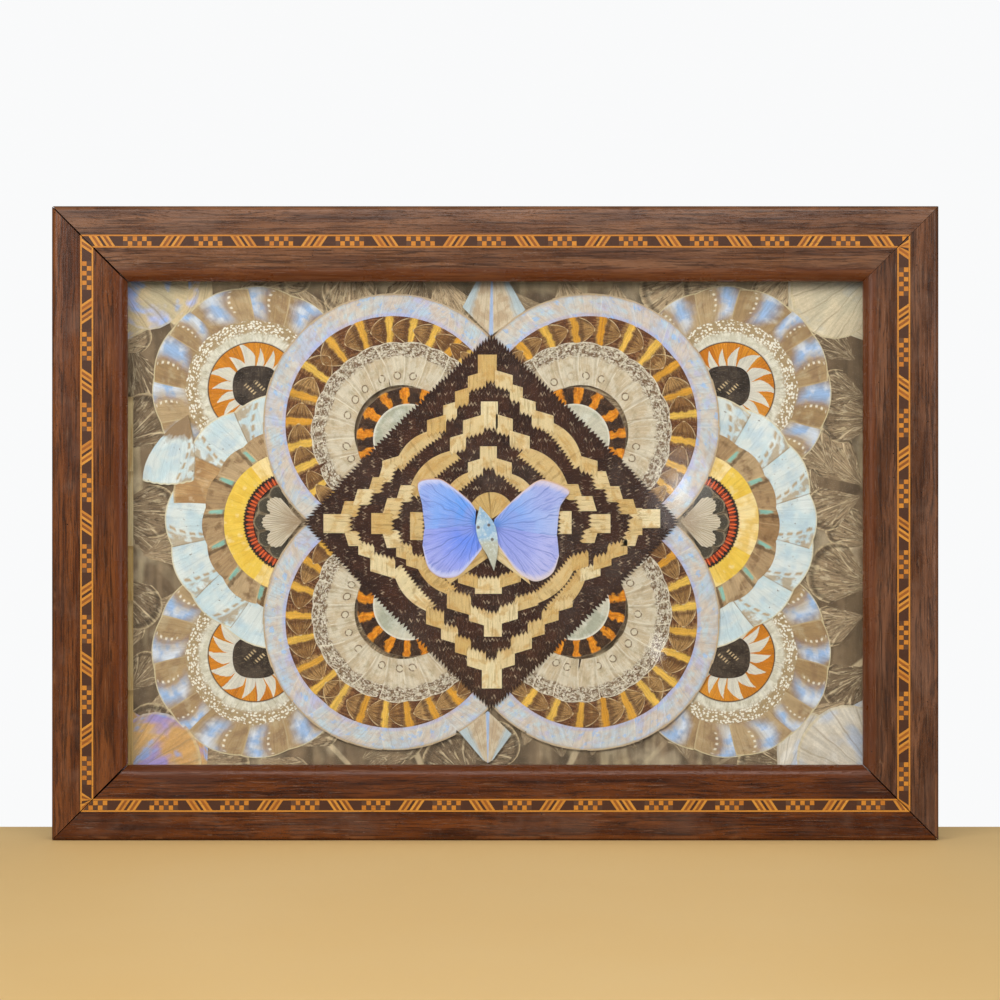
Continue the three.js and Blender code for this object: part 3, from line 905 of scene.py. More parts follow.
def paint_body(nodes):
    """The pale slip of wing that stands for the body, folded and spotted."""
    place = nodes.object_mm()
    base = nodes.between(nodes.step(nodes.noise(place, 0.12), 0.4, 0.6), "b2c6cf", "93b4d0")
    low = nodes.step(nodes.split(place)[2], MIDDLE_Z - 9, MIDDLE_Z - 13)
    base = nodes.over(base, low, "b8b8a6")
    pale = nodes.step(nodes.noise(place, 0.7, 3.0), 0.52, 0.64, 0.0, 0.5)
    base = nodes.over(base, pale, "dfe6e4")
    for x, y in ((478.4, 526.3), (492.5, 538.4), (489.0, 524.0)):
        mark_x, mark_z = px(x, y)
        away = nodes.add("ShaderNodeVectorMath", {0: place}, operation="DISTANCE")
        away.inputs[1].default_value = (MIDDLE_X + mark_x, LAYER_Y["body"], MIDDLE_Z + mark_z)
        base = nodes.over(base, nodes.step(away.outputs["Value"], 0.6, 1.3, 0.85, 0.0), "5b4226")
    return {"colour": base, "roughness": 0.45, "height": nodes.noise(place, 1.2)}


def paint_ground(*tones):
    """Grey-brown wing undersides with pale, branching veins."""
    def paint(nodes):
        wing = WingPaint(nodes, 40, 26, amount=0.42, fineness=1.0)
        base = nodes.between(wing.tone, *tones)
        base = nodes.coats(base, [
            (wing.cloud(0.08, 0.5, 0.62, 0.5), "6a553e"),
            (wing.streaks(0.8, 0.1, 0.5, 0.62, 0.6), "554632"),
            (wing.streaks(0.6, 0.12, 0.56, 0.66, 0.7), "c0ae8a"),
            (wing.cloud(0.25, 0.55, 0.66, 0.6), "bfae90"),
            (wing.cloud(0.4, 0.56, 0.66, 0.6), "4a3a2a"),
        ])
        spread = nodes.math("DIVIDE", nodes.minus(wing.u, 0.5), nodes.plus(wing.v, 0.3))
        veins = nodes.times(wing.lines(3.2, 0.06, 0.8, 0.12, spread), wing.cloud(0.07, 0.4, 0.55))
        base = nodes.coats(base, [
            (veins, "d0bc98"),
            (wing.band(wing.v, 0.88, 0.95, 0.03, 0.55), "3f3426"),
            (nodes.step(wing.v, 0.955, 0.985, 0.0, 0.7), "bfab86"),
        ])
        return wing.finish(base, 0.6)
    return paint


def paint_patched(base_tones, patch_tones):
    """Beige wings with soft patches of another colour, as in the corners."""
    def paint(nodes):
        wing = WingPaint(nodes, 30, 24, amount=0.2)
        base = nodes.between(wing.cloud(0.1), *base_tones)
        base = nodes.coats(base, [
            (wing.cloud(0.08, 0.5, 0.64, 0.85), patch_tones[0]),
            (wing.cloud(0.12, 0.54, 0.66, 0.75), patch_tones[1]),
            (wing.lines(6, 0.06, 0.4), "8a7a60"),
            (nodes.step(wing.v, 0.96, 0.985, 0.0, 0.6), "c8b892"),
        ])
        return wing.finish(base)
    return paint


def paint_kite(nodes):
    """Beige wings with pale blue outer edges."""
    wing = WingPaint(nodes, 18, 30, amount=0.14)
    base = nodes.between(wing.cloud(0.12), "b9a284", "cbbb9f")
    base = nodes.coats(base, [
        (nodes.step(wing.wavy(wing.u, 0.2, 0.2), 0.6, 0.85, 0.0, 0.9), "aebfc6"),
        (wing.lines(4, 0.06, 0.4), "8f7d62"),
        (nodes.step(wing.u, 0.1, 0.04, 0.0, 0.9), "9ab4dc"),
    ])
    return wing.finish(base)


def make_glass():
    """Clear glass that lets the lamps through to the picture behind it."""
    material = bpy.data.materials.new("clear_glass")
    material.use_nodes = True
    nodes = Nodes(material.node_tree)
    shader = material.node_tree.nodes["Principled BSDF"]
    shader.inputs["Transmission Weight"].default_value = 1.0
    shader.inputs["IOR"].default_value = 1.5
    place = nodes.object_mm()
    smears = nodes.noise(place, 0.015, 4.0, 0.6)
    nodes.feed(shader.inputs["Base Color"], nodes.between(smears, "fcfefd", "ffffff"))
    nodes.feed(shader.inputs["Roughness"], nodes.step(smears, 0.35, 0.7, 0.03, 0.06))
    clear = nodes.add("ShaderNodeBsdfTransparent").outputs[0]
    shadow = nodes.add("ShaderNodeLightPath").outputs["Is Shadow Ray"]
    mixed = nodes.add("ShaderNodeMixShader", {0: shadow, 1: shader.outputs[0], 2: clear}).outputs[0]
    nodes.feed(material.node_tree.nodes["Material Output"].inputs["Surface"], mixed)
    return material


# Making pieces

SHARP_ANGLE = 35


def place_piece(name, bm, materials, replaced=()):
    """Turn a shape in millimetres into a piece that rides with the frame."""
    bmesh.ops.scale(bm, vec=(MM, MM, MM), verts=bm.verts)
    mesh = bpy.data.meshes.new(name)
    bm.to_mesh(mesh)
    bm.free()
    for material in materials:
        mesh.materials.append(material)
    piece = bpy.data.objects.new(name, mesh)
    bpy.context.scene.collection.objects.link(piece)
    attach(piece, "root")
    if replaced:
        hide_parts(*replaced)
    return piece


def thicken(piece, thickness):
    """Give a sheet its thickness, behind the face that shows."""
    solid = piece.modifiers.new("thickness", "SOLIDIFY")
    solid.thickness = thickness * MM
    solid.offset = -1.0


def smooth(bm):
    for face in bm.faces:
        face.smooth = True
    for edge in bm.edges:
        edge.smooth = edge.calc_face_angle(0.0) < math.radians(SHARP_ANGLE)


# Frame

BANDING_GAP = 0.05
MITRE_DEPTH_Y = -3.0
MITRE_CLOSED = 0.1
EDGE_WEAR = 0.12
RAIL_PARTS = 40
ROUNDING_STEPS = 8
# Where the lip's curve bends: a share of its width, and mm behind the face
LIP_BEND = (0.42, 0.1)
RAILS = {
    "bottom": {"turn": 0, "length": FRAME_WIDTH, "distance": FRAME_HEIGHT / 2,
              "tones": ("6f3a12", "4f2406", "2a1003")},
    "right": {"turn": -90, "length": FRAME_HEIGHT, "distance": FRAME_WIDTH / 2,
             "tones": ("785038", "56341f", "301b10")},
    "top": {"turn": 180, "length": FRAME_WIDTH, "distance": FRAME_HEIGHT / 2,
           "tones": ("80583d", "603d28", "382014")},
    "left": {"turn": 90, "length": FRAME_HEIGHT, "distance": FRAME_WIDTH / 2,
            "tones": ("7c4720", "5a2e10", "2e1606")},
}
# How far the rails' ends stand back from each mitre at the face, at its outer and inner end
MITRE_GAPS = {
    "top_left": (0.5, 0.75),
    "top_right": (0.12, 0.12),
    "bottom_left": (0.2, 0.95),
    "bottom_right": (0.4, 0.55),
}
# The corners at each rail's low and high end along its own length
RAIL_CORNERS = {
    "bottom": ("bottom_left", "bottom_right"),
    "right": ("bottom_right", "top_right"),
    "top": ("top_right", "top_left"),
    "left": ("top_left", "bottom_left"),
}


def rail_section():
    """The rail's section, as (distance in from the frame's outer edge, depth)."""
    points = [(0.0, BACK_Y)]
    for i in range(ROUNDING_STEPS + 1):
        right, up = polar(OUTER_ROUNDING, 180 + 90 * i / ROUNDING_STEPS)
        points.append((OUTER_ROUNDING + right, FACE_Y + OUTER_ROUNDING + up))
    for edge, floor in ((BANDING_START - BANDING_GAP, False), (BANDING_END + BANDING_GAP, True)):
        face = (edge, FACE_Y)
        groove = (edge, BANDING_BACK_Y + FIT_GAP)
        points += [groove, face] if floor else [face, groove]
    lip_start = (RAIL_WIDTH - LIP_WIDTH, FACE_Y)
    lip_bend = (RAIL_WIDTH - LIP_WIDTH * LIP_BEND[0], FACE_Y + LIP_BEND[1])
    lip_end = (RAIL_WIDTH, FACE_Y + LIP_DROP)
    for i in range(ROUNDING_STEPS + 1):
        t = i / ROUNDING_STEPS
        weights = ((1 - t) ** 2, 2 * t * (1 - t), t ** 2)
        corners = zip(lip_start, lip_bend, lip_end)
        points.append(tuple(sum(w * c for w, c in zip(weights, three)) for three in corners))
    rebate_y = GLASS_FRONT_Y - FIT_GAP
    points += [(RAIL_WIDTH, rebate_y), (REBATE_START, rebate_y), (REBATE_START, BACK_Y)]
    return points


def mitre_gap(corner, inward, depth):
    """How far a rail's end stands back at a corner: a groove that closes behind the face."""
    outer, inner = MITRE_GAPS[corner]
    face = outer + (inner - outer) * inward / RAIL_WIDTH
    closed = min(1.0, max(0.0, (depth - FACE_Y) / (MITRE_DEPTH_Y - FACE_Y)))
    return face * (1 - closed) + MITRE_CLOSED * closed


def make_rail(side, chance):
    """One mitred rail, its edges a little uneven with wear."""
    rail = RAILS[side]
    bm = bmesh.new()
    uv = bm.loops.layers.uv.new("Rail")
    section = rail_section()
    loop = [bm.verts.new((-1.0, depth, inward)) for inward, depth in section]
    edges = [bm.edges.new((loop[i - 1], loop[i])) for i in range(len(loop))]
    bmesh.ops.contextual_create(bm, geom=edges)
    for _ in range(RAIL_PARTS):
        made = bmesh.ops.extrude_edge_only(bm, edges=edges)["geom"]
        new_verts = [item for item in made if isinstance(item, bmesh.types.BMVert)]
        bmesh.ops.translate(bm, vec=(2.0 / RAIL_PARTS, 0, 0), verts=new_verts)
        edges = [item for item in made if isinstance(item, bmesh.types.BMEdge)
                 and item.verts[0] in new_verts and item.verts[1] in new_verts]
    bmesh.ops.contextual_create(bm, geom=edges)
    low_corner, high_corner = RAIL_CORNERS[side]
    for vert in bm.verts:
        share, depth, inward = vert.co
        corner = low_corner if share < 0 else high_corner
        half = rail["length"] / 2 - inward - mitre_gap(corner, inward, depth)
        vert.co.x = share * half
    for face in bm.faces:
        for corner in face.loops:
            corner[uv].uv = (corner.vert.co.z, corner.vert.co.x)
    for vert in bm.verts:
        share, depth, inward = vert.co
        at_edge = inward < OUTER_ROUNDING and depth < FACE_Y + OUTER_ROUNDING
        at_lip = inward > RAIL_WIDTH - LIP_WIDTH and depth < FACE_Y + 1
        if (at_edge or at_lip) and abs(share) < rail["length"] / 2 - RAIL_WIDTH:
            vert.co.y += chance.uniform(0, EDGE_WEAR)
        vert.co.z -= rail["distance"]
    bmesh.ops.recalc_face_normals(bm, faces=bm.faces)
    smooth(bm)
    bmesh.ops.rotate(bm, matrix=Matrix.Rotation(math.radians(rail["turn"]), 3, "Y"), verts=bm.verts)
    bmesh.ops.translate(bm, vec=(0, 0, FRAME_HEIGHT / 2), verts=bm.verts)
    wood_turn = 0 if side in ("bottom", "top") else 90
    shift = 140.0 * list(RAILS).index(side)
    paint = paint_rail(wood_turn, shift, "Rail", rail["tones"])
    wood = new_surface(f"frame_wood_{side}", paint, relief=0.1)
    place_piece(f"{side}_rail", bm, [wood], [f"rail_{side}"])


# Banding: a dark ground with two light lines, and groups of slanted bars and chequers
# let into it in turn. Along each side the groups' places are read from the photograph.

LINE_WIDTH = 0.9
BAR_COUNT = 4
BAR_PITCH = 3.35
BAR_THICKNESS = 1.6
BAR_RUN = 3.9
SQUARE_PITCH = 2.8
SQUARE_SIZE = 2.62
CHEQUER_COLUMNS = 6
TILE_STAND = 0.03
TILE_THICKNESS = 1.1
SQUARE_WOBBLE = 0.08
SMALLEST_SLIP = 0.2
# The slips' woods, in the order of the banding's materials
DARK_WOOD, LINE_WOOD, SQUARE_WOOD, INFILL_WOOD, DARK_SQUARE_WOOD = range(5)
BANDING_PATTERNS = {
    "top": {"first": 103.0, "last": 880.0, "slants": "\\/\\/\\/\\/\\\\/\\"},
    "bottom": {"first": 129.5, "last": 905.0, "slants": "/\\/\\/\\/\\/\\/\\"},
    "left": {"first": 241.0, "last": 805.0, "slants": "\\/\\/\\/\\/\\"},
    "right": {"first": 247.0, "last": 811.0, "slants": "\\/\\/\\/\\/\\"},
}


class Banding:
    """The inlay of one side, as flat slips that a modifier makes thick."""

    def __init__(self, side, chance):
        self.side = side
        self.chance = chance
        self.bm = bmesh.new()
        self.tone = self.bm.loops.layers.uv.new("Tone")
        self.level = side in ("top", "bottom")
        self.half_length = (FRAME_WIDTH if self.level else FRAME_HEIGHT) / 2

    def add_slip(self, corners, paint, stand=TILE_STAND):
        """A four-cornered slip. Corners are (along, inward), in order round it."""
        tone = (self.chance.random(), self.chance.random())
        verts = []
        for along, inward in corners:
            limit = self.half_length - inward - FIT_GAP
            along = max(-limit, min(limit, along))
            verts.append(self.bm.verts.new(self.seen_place(along, inward, stand)))
        face = self.bm.faces.new(verts)
        face.material_index = paint
        if face.calc_area() < SMALLEST_SLIP:
            bmesh.ops.delete(self.bm, geom=[face], context="FACES")
            return
        face.normal_update()
        if face.normal.y > 0:
            face.normal_flip()
        for corner in face.loops:
            corner[self.tone].uv = tone

    def seen_place(self, along, inward, stand):
        """along runs right, or down, as the frame is seen from the front."""
        depth = FACE_Y - stand
        across = {"bottom": inward, "left": inward - FRAME_WIDTH / 2,
                  "top": FRAME_HEIGHT - inward, "right": FRAME_WIDTH / 2 - inward}[self.side]
        if self.level:
            return (along, depth, across)
        return (across, depth, FRAME_HEIGHT / 2 - along)

    def add_bar_group(self, middle, slant):
        low, high = BANDING_START + LINE_WIDTH, BANDING_END - LINE_WIDTH
        # Which way the bars lean in from the outer edge, for the way they lean as seen
        rising = 1 if slant == "/" else -1
        lean = {"bottom": rising, "top": -rising, "left": -rising, "right": rising}[self.side]
        start = middle - (BAR_COUNT - 1) * BAR_PITCH / 2
        for i in range(BAR_COUNT):
            at = start + i * BAR_PITCH
            bars = [(at, BAR_THICKNESS / 2, LINE_WOOD)]
            if i % 2 == 0:
                bars.append((at + BAR_PITCH / 2, (BAR_PITCH - BAR_THICKNESS) / 2, INFILL_WOOD))
            for along, half, wood in bars:
                near, far = along - lean * BAR_RUN / 2, along + lean * BAR_RUN / 2
                self.add_slip([(near - half, low), (near + half, low),
                               (far + half, high), (far - half, high)], wood)

    def add_chequer(self, middle):
        low = (BANDING_START + BANDING_END) / 2 - SQUARE_PITCH
        half = SQUARE_SIZE / 2
        for column in range(CHEQUER_COLUMNS):
            along = middle + (column - (CHEQUER_COLUMNS - 1) / 2) * SQUARE_PITCH
            for row in range(2):
                inward = low + (row + 0.5) * SQUARE_PITCH
                wood = DARK_SQUARE_WOOD if (row + column) % 2 else SQUARE_WOOD
                wobble = self.chance.uniform(-SQUARE_WOBBLE, SQUARE_WOBBLE)
                left, right = along - half, along + half
                outer, inner = inward - half, inward + half
                self.add_slip([(left + wobble, outer), (right, outer + wobble),
                               (right - wobble, inner), (left, inner)], wood)

    def finish(self, materials):
        name = f"{self.side}_banding"
        piece = place_piece(name, self.bm, materials, [f"banding_{self.side}"])
        thicken(piece, TILE_THICKNESS)


def make_banding(side, materials, chance):
    banding = Banding(side, chance)
    half = banding.half_length
    for low, high, wood, stand in (
        (BANDING_START, BANDING_END, DARK_WOOD, -TILE_STAND),
        (BANDING_START, BANDING_START + LINE_WIDTH, LINE_WOOD, TILE_STAND),
        (BANDING_END - LINE_WIDTH, BANDING_END, LINE_WOOD, TILE_STAND),
    ):
        banding.add_slip([(-half, low), (half, low), (half, high), (-half, high)], wood, stand)
    pattern = BANDING_PATTERNS[side]
    groups = len(pattern["slants"])
    middle_px = FRAME_MIDDLE_PX[0] if banding.level else FRAME_MIDDLE_PX[1]
    first, last = [(pattern[key] - middle_px) * MM_PER_PX for key in ("first", "last")]
    pitch = (last - first) / (groups - 1)
    for i, slant in enumerate(pattern["slants"]):
        banding.add_bar_group(first + i * pitch, slant)
    for i in range(groups + 1):
        banding.add_chequer(first + (i - 0.5) * pitch)
    banding.finish(materials)


def make_frame(chance):
    slips = [
        new_surface(f"inlay_{name}", paint_inlay(light, dark), relief=0.05)
        for name, light, dark in (
            ("ground", "57321c", "3a2012"),
            ("light", "dc9c3a", "b8701c"),
            ("square", "d68f2c", "b4691a"),
            ("infill", "a9641c", "6d3f18"),
            ("dark_square", "6b4a34", "4b3020"),
        )
    ]
    for side in RAILS:
        make_rail(side, chance)
        make_banding(side, slips, chance)


BRAD_RADIUS = 0.8
BRAD_LENGTH = 11.0
BRADS_ALONG = (-150.0, -50.0, 50.0, 150.0)
BRADS_UP = (-75.0, 75.0)


def make_brads():
    """Small headless nails, driven into the rebate's wall, that hold the backing board."""
    bm = bmesh.new()
    depth = BOARD_BOX[1][1] + BRAD_RADIUS + 0.1
    middle = FRAME_HEIGHT / 2
    wall = {"z": FRAME_HEIGHT / 2 - REBATE_START, "x": FRAME_WIDTH / 2 - REBATE_START}
    for sign in (-1, 1):
        spots = [((x, sign * wall["z"]), "X") for x in BRADS_ALONG]
        spots += [((sign * wall["x"], z), "Y") for z in BRADS_UP]
        for (x, z), axis in spots:
            made = bmesh.ops.create_cone(bm, cap_ends=True, segments=12, radius1=BRAD_RADIUS,
                                         radius2=BRAD_RADIUS, depth=BRAD_LENGTH)
            if axis == "Y":
                quarter = Matrix.Rotation(math.radians(90), 3, "Y")
                bmesh.ops.rotate(bm, matrix=quarter, verts=made["verts"])
            bmesh.ops.translate(bm, vec=(x, depth, z + middle), verts=made["verts"])
    steel = new_surface("brad_steel", paint_brad, Metallic=0.6)
    place_piece("board_brads", bm, [steel])


# Wings


class WingSheet:
    """Wings laid into one piece: for each a grid of faces, warped to its place."""

    def __init__(self, layer, chance, lift=0.0):
        self.bm = bmesh.new()
        self.wing_uv = self.bm.loops.layers.uv.new("Wing")
        self.tone_uv = self.bm.loops.layers.uv.new("Tone")
        self.depth = LAYER_Y[layer] - lift
        self.chance = chance

    def lay(self, place, across=8, along=4, tone=None, paint=0):
        """place gives (right, up, lift) from the picture's middle for u and v from 0 to 1."""
        grid = bmesh.ops.create_grid(self.bm, x_segments=across, y_segments=along, size=0.5)["verts"]
        faces = list({face for vert in grid for face in vert.link_faces})
        tone = tone or (self.chance.random(), self.chance.random())
        for face in faces:
            face.material_index = paint
            for corner in face.loops:
                corner[self.wing_uv].uv = (corner.vert.co.x + 0.5, corner.vert.co.y + 0.5)
                corner[self.tone_uv].uv = tone
        for vert in grid:
            right, up, lift = place(vert.co.x + 0.5, vert.co.y + 0.5)
            vert.co = (MIDDLE_X + right, self.depth - lift, MIDDLE_Z + up)
        for face in faces:
            face.normal_update()
        if sum(face.normal.y for face in faces) > 0:
            bmesh.ops.reverse_faces(self.bm, faces=faces)

    def cut(self, point, outward):
        """Cut away what lies past a line through a point of the picture."""
        bmesh.ops.bisect_plane(
            self.bm, geom=[*self.bm.verts, *self.bm.edges, *self.bm.faces], dist=0.0001,
            plane_co=(MIDDLE_X + point[0], 0, MIDDLE_Z + point[1]),
            plane_no=(outward[0], 0, outward[1]), clear_outer=True,
        )

    def cut_to_ground(self):
        """Cut away what lies past the picture's own edges."""
        (left, bottom), (right, top) = GROUND_CORNERS
        self.cut((left, 0), (-1, 0))
        self.cut((right, 0), (1, 0))
        self.cut((0, bottom), (0, -1))
        self.cut((0, top), (0, 1))

    def finish(self, name, materials, slot, replaced=(), curved=False):
        for face in self.bm.faces:
            face.smooth = curved
        for edge in self.bm.edges:
            edge.smooth = not edge.is_boundary
        piece = place_piece(name, self.bm, materials, replaced)
        thicken(piece, SHEET)
        return piece


class Medallion:
    """A medallion's centre, the way it faces, and which hand its wings are laid with."""

    def __init__(self, centre, facing, hand):
        self.centre = centre
        self.facing = facing
        self.hand = hand

    def point(self, radius, angle):
        """A point of the medallion. The angle is from the way it faces, in degrees."""
        right, up = polar(radius, self.facing + self.hand * angle)
        return self.centre[0] + right, self.centre[1] + up

    def moved(self, shift):
        """The same medallion with its centre shifted back, away from the way it faces."""
        return Medallion(self.point(-shift, 0), self.facing, self.hand)

    def sector(self, inner, outer, start, end, lift=0.0, bulge=0.0, lean=0.0, slant=0.0, bow=0.0):
        """A wing that fills a stretch of a ring. Its end lies on top of what comes next."""
        def place(u, v):
            reach = outer - slant * u + bulge * (math.sin(math.pi * u) - 1)
            radius = inner + (reach - inner) * v
            angle = start + (end - start) * u + lean * (v - 0.5) + bow * (4 * v * (1 - v) - 1)
            right, up = self.point(radius, angle)
            return right, up, lift + OVERLAP_RISE * u
        return place

    def scale_wing(self, inner, outer, base, tip):
        """A wing that lies along a ring, with a rounded point at its tip."""
        middle, half = (inner + outer) / 2, (outer - inner) / 2

        def place(u, v):
            taper = 1.0 if u < TIP_START else (1 - ((u - TIP_START) / TIP_LENGTH) ** 1.7) ** 0.8
            radius = middle + half * taper * (2 * v - 1)
            right, up = self.point(radius, base + (tip - base) * u)
            return right, up, OVERLAP_RISE * u
        return place


def stretches(limits):
    """Each pair of neighbouring limits."""
    return list(zip(limits, limits[1:]))


def shares(end, count):
    """Equal shares of the stretch from -end to end, each as its own start and end."""
    return stretches([-end + 2 * end * i / count for i in range(count + 1)])


def around(marks, end):
    """A stretch about each mark, from -end to end, with limits halfway between the marks."""
    return stretches([-end, *[(a + b) / 2 for a, b in stretches(marks)], end])


def ring_sheet(layer, level, chance):
    """A sheet for a medallion's ring. Rings nearer the middle lie on a higher level."""
    return WingSheet(layer, chance, RING_FLOOR + level * RING_STEP)


def finish_rings(prefix, line, paints, rings):
    """Cut each ring along a line, and let it take over the solid of its name."""
    for sheet, ring, slot, names in rings:
        sheet.cut(*line)
        node = f"{prefix}_{ring}"
        sheet.finish(f"{node}_wings", [paints[name] for name in names], slot, [node])


# Large medallions

LARGE_OFFSET = 58.1
LARGE_SIGNS = {
    "top_left": (-1, 1),
    "top_right": (1, 1),
    "bottom_left": (-1, -1),
    "bottom_right": (1, -1),
}
DIAMOND_TUCK = 4.0
# A ring's end is how far it runs both ways from the way the medallion faces, in degrees
PALE_RING = {"radius": 76.9, "inner": 60.5, "end": 112, "count": 13}
TAWNY_RING = {"radius": 63.4, "under": 42.0, "end": 105, "tuck": 1.5, "length": 26.0, "bar_share": 0.52}
MOTTLED_RING = {"radius": 53.6, "inner": 28.0, "end": 98, "shift": 7.5, "count": 12}
TIGER_RING = {"radius": 30.7, "inner": 19.0, "end": 98, "shift": 12.9}
PEARL_DISC = {"radius": 20.8, "inner": 0.2, "end": 88}
# Where the ochre bars of the tawny wings and the orange patches of the tiger wings lie, in
# degrees from the way the medallion faces
TAWNY_BARS = {
    "top_left": (-101, -93, -83.5, -70, -57, -43, -26.5, -8, 11.5, 28, 44, 58, 71, 86, 96),
    "top_right": (-100, -87, -70.8, -54, -38.1, -21.7, -5, 10.8, 26.9, 39.9, 55.5, 71.6, 85, 97),
    "bottom_left": (-98, -84.4, -69.3, -54.2, -40.6, -26.7, -10.4, 3.5, 17.3, 33.9, 48.1, 64.5, 80, 93),
    "bottom_right": (-97, -83.2, -66.9, -50.8, -36, -21.1, -6.3, 8.6, 23.5, 38.3, 53.2, 67.3, 83.4, 97),
}
TIGER_PATCHES = {
    "top": (-88, -64, -41, -18, 12, 39, 62, 86),
    "bottom": (-88, -64, -45, -21, 4.5, 29, 54, 80),
}


def make_large_medallion(corner, paints, chance):
    sign_x, sign_z = LARGE_SIGNS[corner]
    facing = math.degrees(math.atan2(sign_z, sign_x))
    medal = Medallion((sign_x * LARGE_OFFSET, sign_z * LARGE_OFFSET), facing, -sign_x * sign_z)
    edge = (DIAMOND_HALF - DIAMOND_TUCK) / 2
    line = ((sign_x * edge, sign_z * edge), (-sign_x, -sign_z))

    pale = ring_sheet("large", 0, chance)
    for start, end in shares(PALE_RING["end"], PALE_RING["count"]):
        place = medal.sector(PALE_RING["inner"], PALE_RING["radius"], start - 1, end + 4, 0, 0,
                             chance.uniform(-9, 9), 0.5, chance.uniform(-0.3, 0))
        pale.lay(place, across=8, along=3)

    tawny = ring_sheet("large", 1, chance)
    for bar in TAWNY_BARS[corner]:
        length = TAWNY_RING["length"] * chance.uniform(0.94, 1.06) * (1 if bar < 0 else -1)
        base = bar - TAWNY_RING["bar_share"] * length
        turn = math.radians(min(100, abs(bar)))
        shift, radius = MOTTLED_RING["shift"], MOTTLED_RING["radius"]
        covered = math.sqrt(radius ** 2 - (shift * math.sin(turn)) ** 2) - shift * math.cos(turn)
        inner = covered - TAWNY_RING["tuck"]
        place = medal.scale_wing(inner, TAWNY_RING["radius"], base, base + length)
        tawny.lay(place, across=18, along=6)
    end = TAWNY_RING["end"]
    under = medal.sector(TAWNY_RING["under"], TAWNY_RING["radius"] - 0.4, -end, end, -0.05)
    tawny.lay(under, across=60, along=1, tone=(0.2, 0.4), paint=1)

    mottled = ring_sheet("large", 2, chance)
    moved = medal.moved(MOTTLED_RING["shift"])
    for start, end in shares(MOTTLED_RING["end"], MOTTLED_RING["count"]):
        outer = MOTTLED_RING["radius"] + chance.uniform(-0.4, 0.4)
        start += chance.uniform(-1.5, 1.5) - 1
        lean = chance.uniform(-6, 6)
        place = moved.sector(MOTTLED_RING["inner"], outer, start, end + 2, 0, 1.2, lean, 0, -1.5)
        mottled.lay(place, across=12, along=5)

    tiger = ring_sheet("large", 3, chance)
    moved = medal.moved(TIGER_RING["shift"])
    for start, end in around(TIGER_PATCHES[corner.split("_")[0]], TIGER_RING["end"]):
        place = moved.sector(TIGER_RING["inner"], TIGER_RING["radius"], start, end + 2, 0, 0.3)
        tiger.lay(place, across=10, along=3)

    pearl = ring_sheet("large", 4, chance)
    end = PEARL_DISC["end"]
    place = moved.sector(PEARL_DISC["inner"], PEARL_DISC["radius"], -end, end)
    pearl.lay(place, across=30, along=5)

    finish_rings(corner, line, paints, (
        (pale, "pale_ring", "pale_blue_wings", ("pale_blue",)),
        (tawny, "tawny_ring", "tawny_wings", ("tawny", "tawny_base")),
        (mottled, "mottled_ring", "mottled_wings", ("mottled",)),
        (tiger, "tiger_ring", "tiger_wings", ("tiger",)),
        (pearl, "pearl_disc", "pearl_wings", ("pearl",)),
    ))


# Side medallions

SIDE_OFFSET = 116.3
SIDE_PALE_LIMITS = (-92, -62, -38, -14, 9, 33, 58, 92)
# Inner and outer radius of each ring
SIDE_RINGS = {
    "pale": (38.0, 76.6),
    "tan": (39.0, 54.7),
    "yellow": (28.6, 41.7),
    "red": (23.6, 29.2),
    "petals": (8.0, 24.3),
}
# How far the wings of a ring run both ways, in degrees, and how many they are
SIDE_WINGS = {"tan": (84, 7), "yellow": (80, 6), "red": (80, 16), "petals": (75, 5), "fan": (48, 3)}
SIDE_GAP_RADIUS = 75.0
SIDE_CUT = 8.0
FAN_SHIFT = 4.4
FAN_REACH = 23.5


